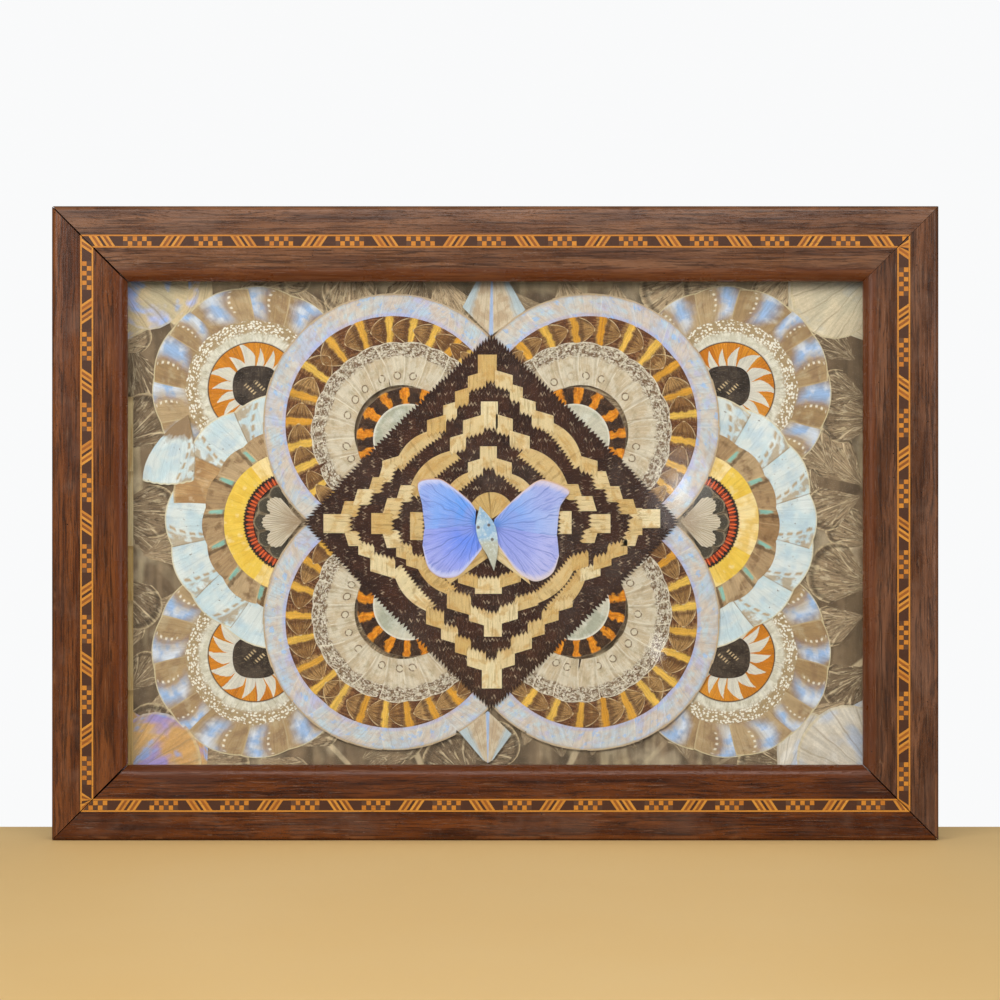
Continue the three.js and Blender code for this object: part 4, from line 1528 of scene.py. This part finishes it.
def make_side_medallion(side, paints, chance):
    sign = -1 if side == "left" else 1
    medal = Medallion((sign * SIDE_OFFSET, 0), 180 if side == "left" else 0, -sign)
    behind = (medal.point(-SIDE_CUT, 0), (-sign, 0))

    pale = ring_sheet("side", 0, chance)
    inner, radius = SIDE_RINGS["pale"]
    for i, (start, end) in enumerate(stretches(SIDE_PALE_LIMITS)):
        gap_wing = side == "left" and i == 2
        outer = SIDE_GAP_RADIUS if gap_wing else radius + chance.uniform(-0.8, 0.8)
        place = medal.sector(inner, outer, start - 2, end + 2.5, 0, 3.0, chance.uniform(-6, 6))
        pale.lay(place, across=10, along=7, paint=1 if gap_wing else 0)

    tan = ring_sheet("side", 1, chance)
    inner, radius = SIDE_RINGS["tan"]
    for start, end in shares(*SIDE_WINGS["tan"]):
        outer = radius + chance.uniform(-1, 0.6)
        tan.lay(medal.sector(inner, outer, start - 1, end + 3, 0, 2.0, 4), across=9, along=4)

    yellow = ring_sheet("side", 2, chance)
    for start, end in shares(*SIDE_WINGS["yellow"]):
        place = medal.sector(*SIDE_RINGS["yellow"], start, end + 1.5, 0, 0.3)
        yellow.lay(place, across=10, along=3)
    for start, end in shares(*SIDE_WINGS["red"]):
        place = medal.sector(*SIDE_RINGS["red"], start, end + 0.5, 0.1)
        yellow.lay(place, across=5, along=1, paint=1)

    fan = ring_sheet("side", 3, chance)
    for start, end in shares(*SIDE_WINGS["petals"]):
        place = medal.sector(*SIDE_RINGS["petals"], start + 1, end - 1, 0, 2.6)
        fan.lay(place, across=10, along=5, paint=1)
    apex = medal.moved(FAN_SHIFT)
    for start, end in shares(*SIDE_WINGS["fan"]):
        def place(u, v, start=start, end=end):
            tooth = 0.9 if round(u * 12) % 2 else 0.0
            reach = FAN_REACH - tooth - 5.0 * abs(2 * u - 1) ** 2.2
            right, up = apex.point(0.3 + reach * v, start - 1 + (end - start + 3) * u)
            return right, up, 0.12 + OVERLAP_RISE * u
        fan.lay(place, across=12, along=4)

    finish_rings(f"side_{side}", behind, paints, (
        (pale, "pale_ring", "pale_blue_wings", ("side_pale", "side_gap")),
        (tan, "tan_ring", "tan_wings", ("tan",)),
        (yellow, "yellow_crescent", "yellow_wings", ("yellow", "red_border")),
        (fan, "ribbed_fan", "fan_wings", ("fan", "petal")),
    ))


# Corner medallions

CORNER_OFFSET = (139.8, 78.7)
CORNER_FACING = 135.7
CORNER_REACH = 10.0
# Inner and outer radius of each ring
CORNER_RINGS = {"wings": (36.0, 60.8), "speckled": (26.5, 41.0), "flames": (12.0, 27.6)}
SPECKLED_WINGS = (102, 9)
FLAMES_END = 104
HEART_HALF = 13.8
# Where the blue patches and the white flame points lie, in degrees from the way it faces
BLUE_PATCHES = (-104, -80, -45.7, -19.7, 20.3, 46.8, 76, 101)
FLAME_POINTS = (-98, -78, -58, -39, -13, 16, 38, 61, 82, 101)


def make_corner_medallion(vertical, side, paints, chance):
    sign_x = -1 if side == "left" else 1
    sign_z = 1 if vertical == "top" else -1
    facing = CORNER_FACING if sign_x < 0 else 180 - CORNER_FACING
    centre = (sign_x * CORNER_OFFSET[0], sign_z * CORNER_OFFSET[1])
    medal = Medallion(centre, sign_z * facing, -sign_x * sign_z)
    behind = (medal.point(-CORNER_REACH, 0), polar(-1.0, medal.facing))

    ring = ring_sheet("corner", 0, chance)
    inner, radius = CORNER_RINGS["wings"]
    ring.lay(medal.sector(inner, radius - 0.6, -12, 12, -0.03, 0.6), across=12, along=5)
    for patch in BLUE_PATCHES:
        way = 1 if patch > 0 else -1
        spread = way * chance.uniform(33, 37)
        start = patch + chance.uniform(-2, 2) - 0.36 * spread
        outer = radius + chance.uniform(-0.5, 0.4)
        place = medal.sector(inner, outer, start, start + spread, 0, 1.6, way * -5)
        ring.lay(place, across=14, along=6)

    speckled = ring_sheet("corner", 1, chance)
    inner, radius = CORNER_RINGS["speckled"]
    for start, end in shares(*SPECKLED_WINGS):
        outer = radius + chance.uniform(-0.6, 0.5)
        place = medal.sector(inner, outer, start - 1, end + 2, 0, 1.0, chance.uniform(-5, 5))
        speckled.lay(place, across=8, along=4)

    heart = ring_sheet("corner", 2, chance)
    for start, end in around(FLAME_POINTS, FLAMES_END):
        place = medal.sector(*CORNER_RINGS["flames"], start, end + 1.5)
        heart.lay(place, across=10, along=4, paint=1)

    def rounded_square(u, v):
        along, across = 2 * u - 1, 2 * v - 1
        reach = HEART_HALF - 3.2 * (along * across) ** 2
        right, up = reach * along, reach * across
        return centre[0] - sign_x * (right + 0.8), centre[1] + sign_z * (up * 0.9 + 1.2), 0.2
    heart.lay(rounded_square, across=10, along=10)

    finish_rings(f"corner_{vertical}_{side}", behind, paints, (
        (ring, "wing_ring", "tan_wings", ("corner_wing",)),
        (speckled, "speckled_ring", "speckled_wings", ("speckled",)),
        (heart, "dark_heart", "dark_heart_wings", ("heart", "flame")),
    ))


# Diamond

CHIP_PITCH = 7.8
CHIP_SIZE = 10.4
CHIP_MARGIN = 9.0
CHIP_TEETH = 5
TOOTH_DEPTH = 2.0
BASE_TEETH = 66
BASE_TOOTH = (2.2, 4.4)
DIAMOND_BULGE = 3.4


def chip_place(middle, way, size, lift):
    """A square chip of wing. way is the direction of its toothed edge."""
    side = (way[1], -way[0])

    def place(u, v):
        reach = size * (v - 0.5)
        if v > 0.99 and round(u * 2 * CHIP_TEETH) % 2:
            reach -= TOOTH_DEPTH
        across = size * (u - 0.5)
        right = middle[0] + side[0] * across + way[0] * reach
        up = middle[1] + side[1] * across + way[1] * reach
        return right, up, lift
    return place


def make_diamond(paints, chance):
    """Rows of dark, toothed chips of wing on a toothed sheet."""
    sheet = WingSheet("diamond", chance, -0.38)
    reach = DIAMOND_HALF
    cuts = [chance.uniform(*BASE_TOOTH) * (i % 2) for i in range(2 * BASE_TEETH + 1)]
    for quarter in range(4):
        cos, sin = polar(1.0, 90 * quarter)

        def place(u, v):
            round_edge = reach + DIAMOND_BULGE * math.sin(math.pi * u) ** 0.5
            edge = round_edge - cuts[round(u * 2 * BASE_TEETH)]
            out = edge * v if v > 0.99 else (round_edge - BASE_TOOTH[1]) * v
            x, z = out * (1 - u), out * u
            return x * cos - z * sin, x * sin + z * cos, 0.0
        sheet.lay(place, across=2 * BASE_TEETH, along=6, tone=(0.3, 0.4), paint=1)
    count = int(reach / CHIP_PITCH) + 1
    step = CHIP_PITCH / math.sqrt(2)
    for i in range(-count, count + 1):
        for j in range(-count, count + 1):
            x = (i - j) * step + chance.uniform(-0.8, 0.8)
            z = (i + j) * step + chance.uniform(-0.8, 0.8)
            distance = abs(x) + abs(z)
            if distance > reach - CHIP_MARGIN:
                continue
            upright = abs(z) > abs(x) * chance.uniform(0.6, 1.5)
            way = (0, math.copysign(1, z)) if upright else (math.copysign(1, x), 0)
            lift = 0.04 + 0.2 * (1 - distance / reach) + chance.uniform(0, 0.01)
            sheet.lay(chip_place((x, z), way, CHIP_SIZE, lift), across=2 * CHIP_TEETH, along=2)
    materials = [paints["dark"], paints["dark_plain"]]
    sheet.finish("diamond_dark_wings", materials, "dark_wings", ["diamond_sheet"])


# Cream blocks, as boxes of the photograph (left, top, right, bottom), by the side that is
# toothed. Crescents run from one point to another, and bulge to the left of that way.
CREAM_BLOCKS = {
    "outer": {
        "down": ((479, 353, 496, 380), (469, 372, 485, 387), (456, 388, 468, 404), (444, 402, 456, 418),
                 (428, 416, 445, 432), (496, 371, 512, 387), (511, 384, 522, 400), (521, 398, 535, 413),
                 (533, 411, 553, 428), (383, 456, 405, 468), (581, 457, 597, 472)),
        "right": ((380, 464, 393, 480), (370, 477, 382, 491), (355, 489, 371, 503), (342, 501, 358, 515),
                  (323, 514, 350, 531), (346, 531, 359, 544)),
        "left": ((594, 471, 609, 487), (607, 486, 622, 500), (620, 499, 636, 512), (632, 508, 645, 520),
                 (640, 509, 661, 526), (630, 519, 643, 533), (625, 531, 638, 544)),
        "up": ((359, 543, 373, 556), (371, 555, 394, 574), (427, 609, 443, 626), (442, 625, 457, 641),
               (456, 637, 470, 654), (468, 650, 485, 668), (483, 659, 501, 688), (498, 649, 514, 667),
               (512, 634, 531, 651), (529, 620, 544, 636), (543, 608, 558, 622), (556, 597, 572, 609),
               (582, 565, 600, 578), (595, 554, 611, 567), (609, 542, 627, 556)),
    },
    "middle": {
        "down": ((482, 400, 497, 427), (464, 416, 483, 434), (451, 434, 465, 450), (497, 415, 512, 433),
                 (511, 432, 529, 448)),
        "right": ((398, 485, 412, 500), (384, 498, 400, 517), (371, 513, 392, 532), (384, 530, 400, 546)),
        "left": ((566, 484, 581, 498), (578, 496, 595, 509), (591, 514, 611, 531), (584, 529, 597, 541)),
        "up": ((397, 543, 411, 558), (407, 554, 421, 567), (448, 592, 470, 611), (470, 608, 487, 623),
               (485, 612, 501, 636), (500, 604, 517, 621), (516, 594, 537, 608), (573, 553, 588, 568)),
    },
    "inner": {
        "down": ((481, 445, 496, 467), (469, 459, 482, 475), (496, 459, 511, 475)),
        "right": ((410, 512, 423, 538),),
        "left": ((560, 511, 572, 532),),
        "up": ((476, 577, 501, 593), (459, 573, 477, 585), (501, 572, 520, 584)),
    },
}
CREAM_CRESCENTS = {
    "outer": [((395, 463), (436, 428), 8, 15), ((550, 420), (583, 462), 8, 16),
              ((428, 611), (393, 570), 7, 16), ((587, 573), (553, 613), 7, 16)],
    "middle": [((409, 489), (453, 449), 9, 18), ((526, 446), (569, 487), 9, 19),
               ((450, 594), (415, 560), 7, 15), ((577, 562), (533, 604), 8, 15)],
    "inner": [((445, 492), (472, 470), 4, 12), ((509, 472), (536, 493), 4, 12),
              ((461, 578), (437, 553), 4, 9), ((545, 553), (519, 578), 4, 9)],
}
TOOTH_WAYS = {"down": (0, 1), "up": (0, -1), "right": (1, 0), "left": (-1, 0)}
TEETH_PX = 3.7
BLOCK_LEAN = 0.3
BLOCK_OVERLAP_PX = 1.0
# Blocks that overlap lie at heights of their own
BLOCK_LIFTS = {"down": 0.1, "right": 0.15, "left": 0.1, "up": 0.0}
BLOCK_STAGGER = 0.05
# How far the teeth reach out and in, in pixels of the photograph
BLOCK_TOOTH = (2.6, -1.0)
CRESCENT_TOOTH = (1.9, -1.4)
DOME_MIDDLE = (491.5, 518)
DOME_REACH = (24.5, 27)
DOME_START, DOME_SWEEP = 150, 120
DOME_HALVES = ((0.0, 0.46), (0.44, 1.0))


def block_place(box, toothed, lift):
    """A leaning block of wing in a box of the photograph, with one side toothed."""
    left, top, right, bottom = box
    way = TOOTH_WAYS[toothed]
    middle = ((left + right) / 2, (top + bottom) / 2)
    wide, tall = right - left, bottom - top
    depth, breadth = (wide, tall) if way[0] else (tall, wide)
    off = (middle[0] - MIDDLE_PX[0], middle[1] - MIDDLE_PX[1])
    side = off[1] if way[0] else off[0]
    lean = 0.0 if abs(side) < 7 else math.copysign(BLOCK_LEAN, side)
    teeth = max(4, round(2 * breadth / TEETH_PX))
    breadth += 2 * BLOCK_OVERLAP_PX

    def place(u, v):
        reach = depth * (0.5 - v)
        if v < 0.01:
            reach += BLOCK_TOOTH[0] if round(u * teeth) % 2 else BLOCK_TOOTH[1]
        across = breadth * (u - 0.5)
        reach += lean * across
        x = middle[0] + way[0] * reach + abs(way[1]) * across
        y = middle[1] + way[1] * reach + abs(way[0]) * across
        return *px(x, y), lift
    return place, teeth


def crescent_place(start, end, bulge, thickness):
    """A crescent between two points of the photograph, round outside and toothed inside."""
    run = (end[0] - start[0], end[1] - start[1])
    length = math.hypot(*run)
    out = (run[1] / length, -run[0] / length)
    teeth = max(4, round(2 * length / TEETH_PX))

    def place(u, v):
        swell = 4 * u * (1 - u)
        outer = bulge * swell
        inner = outer - thickness * (0.65 + 0.35 * swell)
        if v < 0.01:
            inner += CRESCENT_TOOTH[0] if round(u * teeth) % 2 else CRESCENT_TOOTH[1]
        off = inner + (outer - inner) * v
        x = start[0] + run[0] * u + out[0] * off
        y = start[1] + run[1] * u + out[1] * off
        return *px(x, y), -0.04
    return place, teeth


def make_cream_bands(paints, chance):
    for band in CREAM_BLOCKS:
        sheet = WingSheet("bands", chance, -0.35)
        for toothed, boxes in CREAM_BLOCKS[band].items():
            for i, box in enumerate(boxes):
                lift = BLOCK_LIFTS[toothed] + BLOCK_STAGGER * (i % 3)
                place, across = block_place(box, toothed, lift)
                sheet.lay(place, across=across, along=3)
        for crescent in CREAM_CRESCENTS[band]:
            place, across = crescent_place(*crescent)
            sheet.lay(place, across=across, along=4)
        sheet.finish(f"cream_{band}_blocks", [paints["cream"]], "cream_wings", [f"cream_band_{band}"])
    dome = WingSheet("bands", chance, -0.35)
    for start, end in DOME_HALVES:
        def place(u, v, start=start, end=end):
            right, up = polar(v, DOME_START - DOME_SWEEP * (start + (end - start) * u))
            x = DOME_MIDDLE[0] + DOME_REACH[0] * right
            y = DOME_MIDDLE[1] - DOME_REACH[1] * up
            return *px(x, y), 0.04
        dome.lay(place, across=10, along=4)
    dome.finish("cream_dome", [paints["cream"]], "cream_wings")


# Butterfly: each wing's rim, and the straight root that it runs to, right of and above the middle

BUTTERFLY = {
    "left_forewing": {
        "root": ((-9.6, -1.6), (-39.1, -4.4)),
        "rim": ((-9.1, 7), (-13.2, 12.9), (-25.5, 22.9), (-32.6, 25.8), (-43.2, 23.5), (-41, 12)),
        "paint": "blue_left",
    },
    "left_hindwing": {
        "root": ((-39.5, -4.2), (-7.0, -1.2)), "lift": -0.13,
        "rim": ((-40.6, -14), (-37.9, -25.3), (-33.8, -30.5), (-27.3, -32.9), (-18, -30.5), (-5.6, -16.0)),
        "paint": "lilac_left",
    },
    "right_forewing": {
        "root": ((38.5, -8.6), (1.2, -2.4)),
        "rim": ((39.4, 2), (41.4, 11.7), (46.1, 18.8), (33.2, 24.7), (25.5, 23.5), (12, 12.3), (1.8, 1.6)),
        "paint": "blue_right",
    },
    "right_hindwing": {
        "root": ((1.6, -2.0), (38.8, -8.3)), "lift": -0.13,
        "rim": ((3.2, -12.5), (13.8, -27.6), (20.3, -32.9), (27.5, -34.9), (36.1, -30), (39.9, -20)),
        "paint": "lilac_right",
    },
}
BODY_SIDES = (
    ((-6.8, 9.4), (-9.1, -1.8), (-7.3, -11.2), (-2.5, -19.5), (1.5, -28.8)),
    ((-6.8, 9.4), (1.5, -0.6), (3.8, -11.2), (3.5, -19.5), (1.5, -28.8)),
)
# Slips under the hindwings' inner edges, as corners in the photograph
SLIVERS = (
    ((478, 536), (440, 570), (488, 557), (450, 583)),
    ((490, 536), (524, 566), (494, 556), (531, 584)),
)


def curve_point(points, share):
    """A point of the smooth curve through some points, drawn as the solid's outline is."""
    at = share * (len(points) - 1)
    i = min(int(at), len(points) - 2)
    t = at - i
    four = [points[max(i - 1, 0)], points[i], points[i + 1], points[min(i + 2, len(points) - 1)]]
    found = []
    for a, b, c, d in zip(*four):
        v0, v1 = (c - a) / 2, (d - b) / 2
        cubic = 2 * b - 2 * c + v0 + v1
        square = 3 * c - 3 * b - 2 * v0 - v1
        found.append(cubic * t ** 3 + square * t ** 2 + v0 * t + b)
    return found


def quad_place(corners, lift):
    """A four-cornered wing. Corners are in the photograph: start and end at u = 0, then at u = 1."""
    near_start, near_end, far_start, far_end = corners

    def place(u, v):
        start = [a + (b - a) * u for a, b in zip(near_start, far_start)]
        end = [a + (b - a) * u for a, b in zip(near_end, far_end)]
        return *px(*[a + (b - a) * v for a, b in zip(start, end)]), lift
    return place


def make_butterfly(paints, chance):
    for name, wing in BUTTERFLY.items():
        sheet = WingSheet("butterfly", chance, -0.25)
        near, far = wing["root"]

        def place(u, v, wing=wing, near=near, far=far):
            rim = curve_point(wing["rim"], u)
            root = [n + (f - n) * u for n, f in zip(near, far)]
            bow = 0.28 * math.sin(math.pi * v) * math.sin(math.pi * u) * (1 - v) + wing.get("lift", 0.0)
            return rim[0] + (root[0] - rim[0]) * v, rim[1] + (root[1] - rim[1]) * v, bow
        sheet.lay(place, across=28, along=10)
        sheet.finish(f"{name}_blue", [paints[wing["paint"]]], "blue_wings", [f"butterfly_{name}"], True)
    slivers = WingSheet("bands", chance, 0.1)
    for corners in SLIVERS:
        slivers.lay(quad_place(corners, 0.0), across=4, along=8)
    slivers.finish("cream_slivers", [paints["cream"]], "cream_wings")
    body = WingSheet("body", chance, -0.3)
    left, right = BODY_SIDES

    def place(u, v):
        one, other = curve_point(left, 1 - v), curve_point(right, 1 - v)
        fold = 0.3 * (1 - abs(2 * u - 1)) + 0.08 * math.sin(v * 9)
        return one[0] + (other[0] - one[0]) * u, one[1] + (other[1] - one[1]) * u, fold
    body.lay(place, across=8, along=20)
    body.finish("body_slip", [paints["body"]], "pearl_wings", ["butterfly_body"])


# Ground, gap fillers and kites

GROUND_COLUMNS, GROUND_ROWS = 17, 12
GROUND_CORNERS = [(corner[0] - MIDDLE_X, corner[2] - MIDDLE_Z) for corner in GROUND_BOX]
# Wings this near the top edge, in mm, are painted paler: painted light against the shadow that the frame's
# top rail casts on them
PAINTED_LIGHT_STRIP = 26.0
# A loose wing starts this far from its root
WING_ROOT = 1.0


def fan_place(root, way, spread, reach, lift):
    """A loose wing: it opens from its root, in the way given in degrees, to a rounded end."""
    def place(u, v):
        end = reach * (1 - 0.3 * abs(2 * u - 1) ** 2.5)
        right, up = polar(WING_ROOT + (end - WING_ROOT) * v, way + spread * (u - 0.5))
        return root[0] + right, root[1] + up, lift
    return place


def make_ground(paints, chance):
    """Loose wings over the whole board, as they show between the medallions."""
    sheet = WingSheet("ground", chance, -0.3)
    (left, bottom), (right, top) = GROUND_CORNERS

    def whole(u, v):
        return left + (right - left) * u, bottom + (top - bottom) * v, 0.0
    sheet.lay(whole, across=6, along=4, tone=(0.1, 0.5))
    for row in range(GROUND_ROWS):
        for column in range(GROUND_COLUMNS):
            x = left + (right - left) * (column + chance.random()) / GROUND_COLUMNS
            z = bottom + (top - bottom) * (row + chance.random()) / GROUND_ROWS
            way = math.degrees(math.atan2(-z * 0.6, -x)) + chance.uniform(-60, 60)
            lift = 0.05 + 0.35 * chance.random()
            reach = chance.uniform(28, 44)
            back_x, back_z = polar(0.4 * reach, way)
            place = fan_place((x - back_x, z - back_z), way, chance.uniform(50, 80), reach, lift)
            # Wings near the top edge take the paler paint, as painted light against the top rail's shadow
            sheet.lay(place, across=12, along=4, paint=int(z > top - PAINTED_LIGHT_STRIP))
    sheet.cut_to_ground()
    materials = [paints["ground"], paints["ground_painted_light"]]
    sheet.finish("ground_wings", materials, "ground_wings", ["wing_ground"])


# Wings in the corners and gaps: root in the photograph, way, spread and reach in mm
GAP_WINGS = {
    "top_left": ("lilac_spots", [
        ((112, 345), 62, 70, 52),
        ((210, 258), -128, 80, 44),
        ((104, 262), -30, 80, 52),
    ]),
    "top_right": ("pale_beige", [
        ((884, 345), 125, 70, 44),
        ((790, 258), -50, 80, 40),
        ((884, 262), -148, 80, 58),
    ]),
    "bottom_left": ("rose_spots", [
        ((112, 700), -66, 70, 50),
        ((205, 788), 128, 80, 46),
        ((104, 788), 30, 80, 60),
    ]),
    "bottom_right": ("pearly", [
        ((884, 690), -112, 80, 48),
        ((780, 792), 52, 80, 52),
        ((890, 790), 140, 85, 60),
    ]),
}
STRIP_START, STRIP_WIDTH = 125.0, 6.5
STRIP_ENDS = (395, 470, 545, 600, 690, 770)
LEFT_GAP_WING = ((187, 413), (46, 7), 66)
KITES = (
    ((491, 334), (492, 276), (462.5, 305), (478, 276)),
    ((491, 334), (492, 276), (525.6, 308), (507, 276)),
    ((488, 711), (488, 763), (459, 732), (483, 760)),
    ((488, 711), (488, 763), (512, 734), (493, 760)),
)


def make_fillers(paints, chance):
    """Single wings in the corners and gaps, and the kites above and below the diamond."""
    for corner, (paint, wings) in GAP_WINGS.items():
        sheet = WingSheet("ground", chance, 0.12)
        for i, (root, way, spread, reach) in enumerate(wings):
            place = fan_place(px(*root), way, spread, reach, 0.05 * i)
            sheet.lay(place, across=12, along=5)
        sheet.cut_to_ground()
        sheet.finish(f"{corner}_gap_wings", [paints[paint]], "ground_wings")
    strip = WingSheet("ground", chance, 0.5)
    for top, bottom in stretches(STRIP_ENDS):
        left, right = STRIP_START, STRIP_START + STRIP_WIDTH
        corners = ((left, top), (left, bottom), (right, top), (right, bottom))
        strip.lay(quad_place(corners, 0.0), across=2, along=4)
    strip.cut_to_ground()
    strip.finish("edge_strip", [paints["cream"]], "ground_wings")
    gap = WingSheet("corner", chance, 0.3)
    root, reaches, length = LEFT_GAP_WING

    def leaf(u, v):
        left = root[0] - reaches[0] * math.sin(v * math.pi / 2) ** 0.8
        right = root[0] + reaches[1] * math.sin(v * math.pi * 0.7)
        scallop = 1.0 * abs(math.sin(u * 22)) if v > 0.99 else 0.0
        down = (length + 4 * math.sin(u * math.pi)) * v + scallop
        return *px(left + (right - left) * u, root[1] + down), 0.1
    gap.lay(leaf, across=36, along=8)
    gap.finish("left_gap_wing", [paints["side_pale"]], "pale_blue_wings")
    kites = WingSheet("side", chance, 0.1)
    for corners in KITES:
        kites.lay(quad_place(corners, 0.05), across=8, along=6)
    kites.cut_to_ground()
    kites.finish("kite_wings", [paints["kite"]], "cream_wings")


def make_paints():
    """The wings' materials, by name."""
    paints = {
        "pale_blue": paint_pale_blue, "tawny": paint_tawny, "tawny_base": paint_tawny_base,
        "mottled": paint_mottled, "tiger": paint_tiger, "pearl": paint_pearl,
        "side_pale": paint_side_pale, "tan": paint_tan, "corner_wing": paint_corner_wing,
        "speckled": paint_speckled, "flame": paint_flame, "heart": paint_heart, "yellow": paint_yellow,
        "red_border": paint_red_border, "petal": paint_petal, "fan": paint_fan,
        "dark": paint_dark(True), "dark_plain": paint_dark(False),
        "cream": paint_cream, "body": paint_body, "kite": paint_kite,
        # The second ground paint is paler: painted light against the top rail's shadow on the top wings
        "ground": paint_ground("74614a", "a48d6e"), "ground_painted_light": paint_ground("958062", "cdb38e"),
        "side_gap": paint_patched(("b08a5c", "bf9c6e"), ("a37c50", "cbb290")),
        "lilac_spots": paint_patched(("c9b48c", "b9ab8a"), ("a9b8ec", "8fb0e4")),
        "pale_beige": paint_patched(("cfc0a2", "c2b79c"), ("d9cdb4", "b7b4a8")),
        "rose_spots": paint_patched(("c79a5e", "bfa070"), ("8f86c8", "7aa0dc")),
        "pearly": paint_patched(("c4b8a4", "cfc6b6"), ("b5bfd0", "dcd6cb")),
        "blue_left": paint_butterfly((-8.0, 0.0), "4f9af0", "94aeea", "c99a72"),
        "blue_right": paint_butterfly((3.0, -2.0), "6fa4ec", "aebae6", "d3b090", "dccbd2"),
        "lilac_left": paint_butterfly((-8.0, -3.0), "5a86ec", "a4a8e6", "c3b4cc"),
        "lilac_right": paint_butterfly((3.0, -4.0), "8496e6", "b4b6e4", "d6c3ba", "dccfd0"),
    }
    return {name: new_surface(f"{name}_wing", paint, relief=0.02, Specular_IOR_Level=0.2)
            for name, paint in paints.items()}


def set_material(node, material):
    """Dress a solid that keeps its own shape."""
    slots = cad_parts[node].data.materials
    slots.clear()
    slots.append(material)


def make_picture(chance):
    paints = make_paints()
    make_ground(paints, chance)
    make_fillers(paints, chance)
    for vertical in ("top", "bottom"):
        for side in ("left", "right"):
            make_corner_medallion(vertical, side, paints, chance)
    for side in ("left", "right"):
        make_side_medallion(side, paints, chance)
    for corner in LARGE_SIGNS:
        make_large_medallion(corner, paints, chance)
    make_diamond(paints, chance)
    make_cream_bands(paints, chance)
    make_butterfly(paints, chance)


make_camera()
make_groups()
make_floor()
make_lights()
make_frame(random.Random(11))
make_brads()
make_picture(random.Random(5))
set_material("glass_pane", make_glass())
set_material("backing_board", new_surface("bare_board", paint_board, relief=0.2))
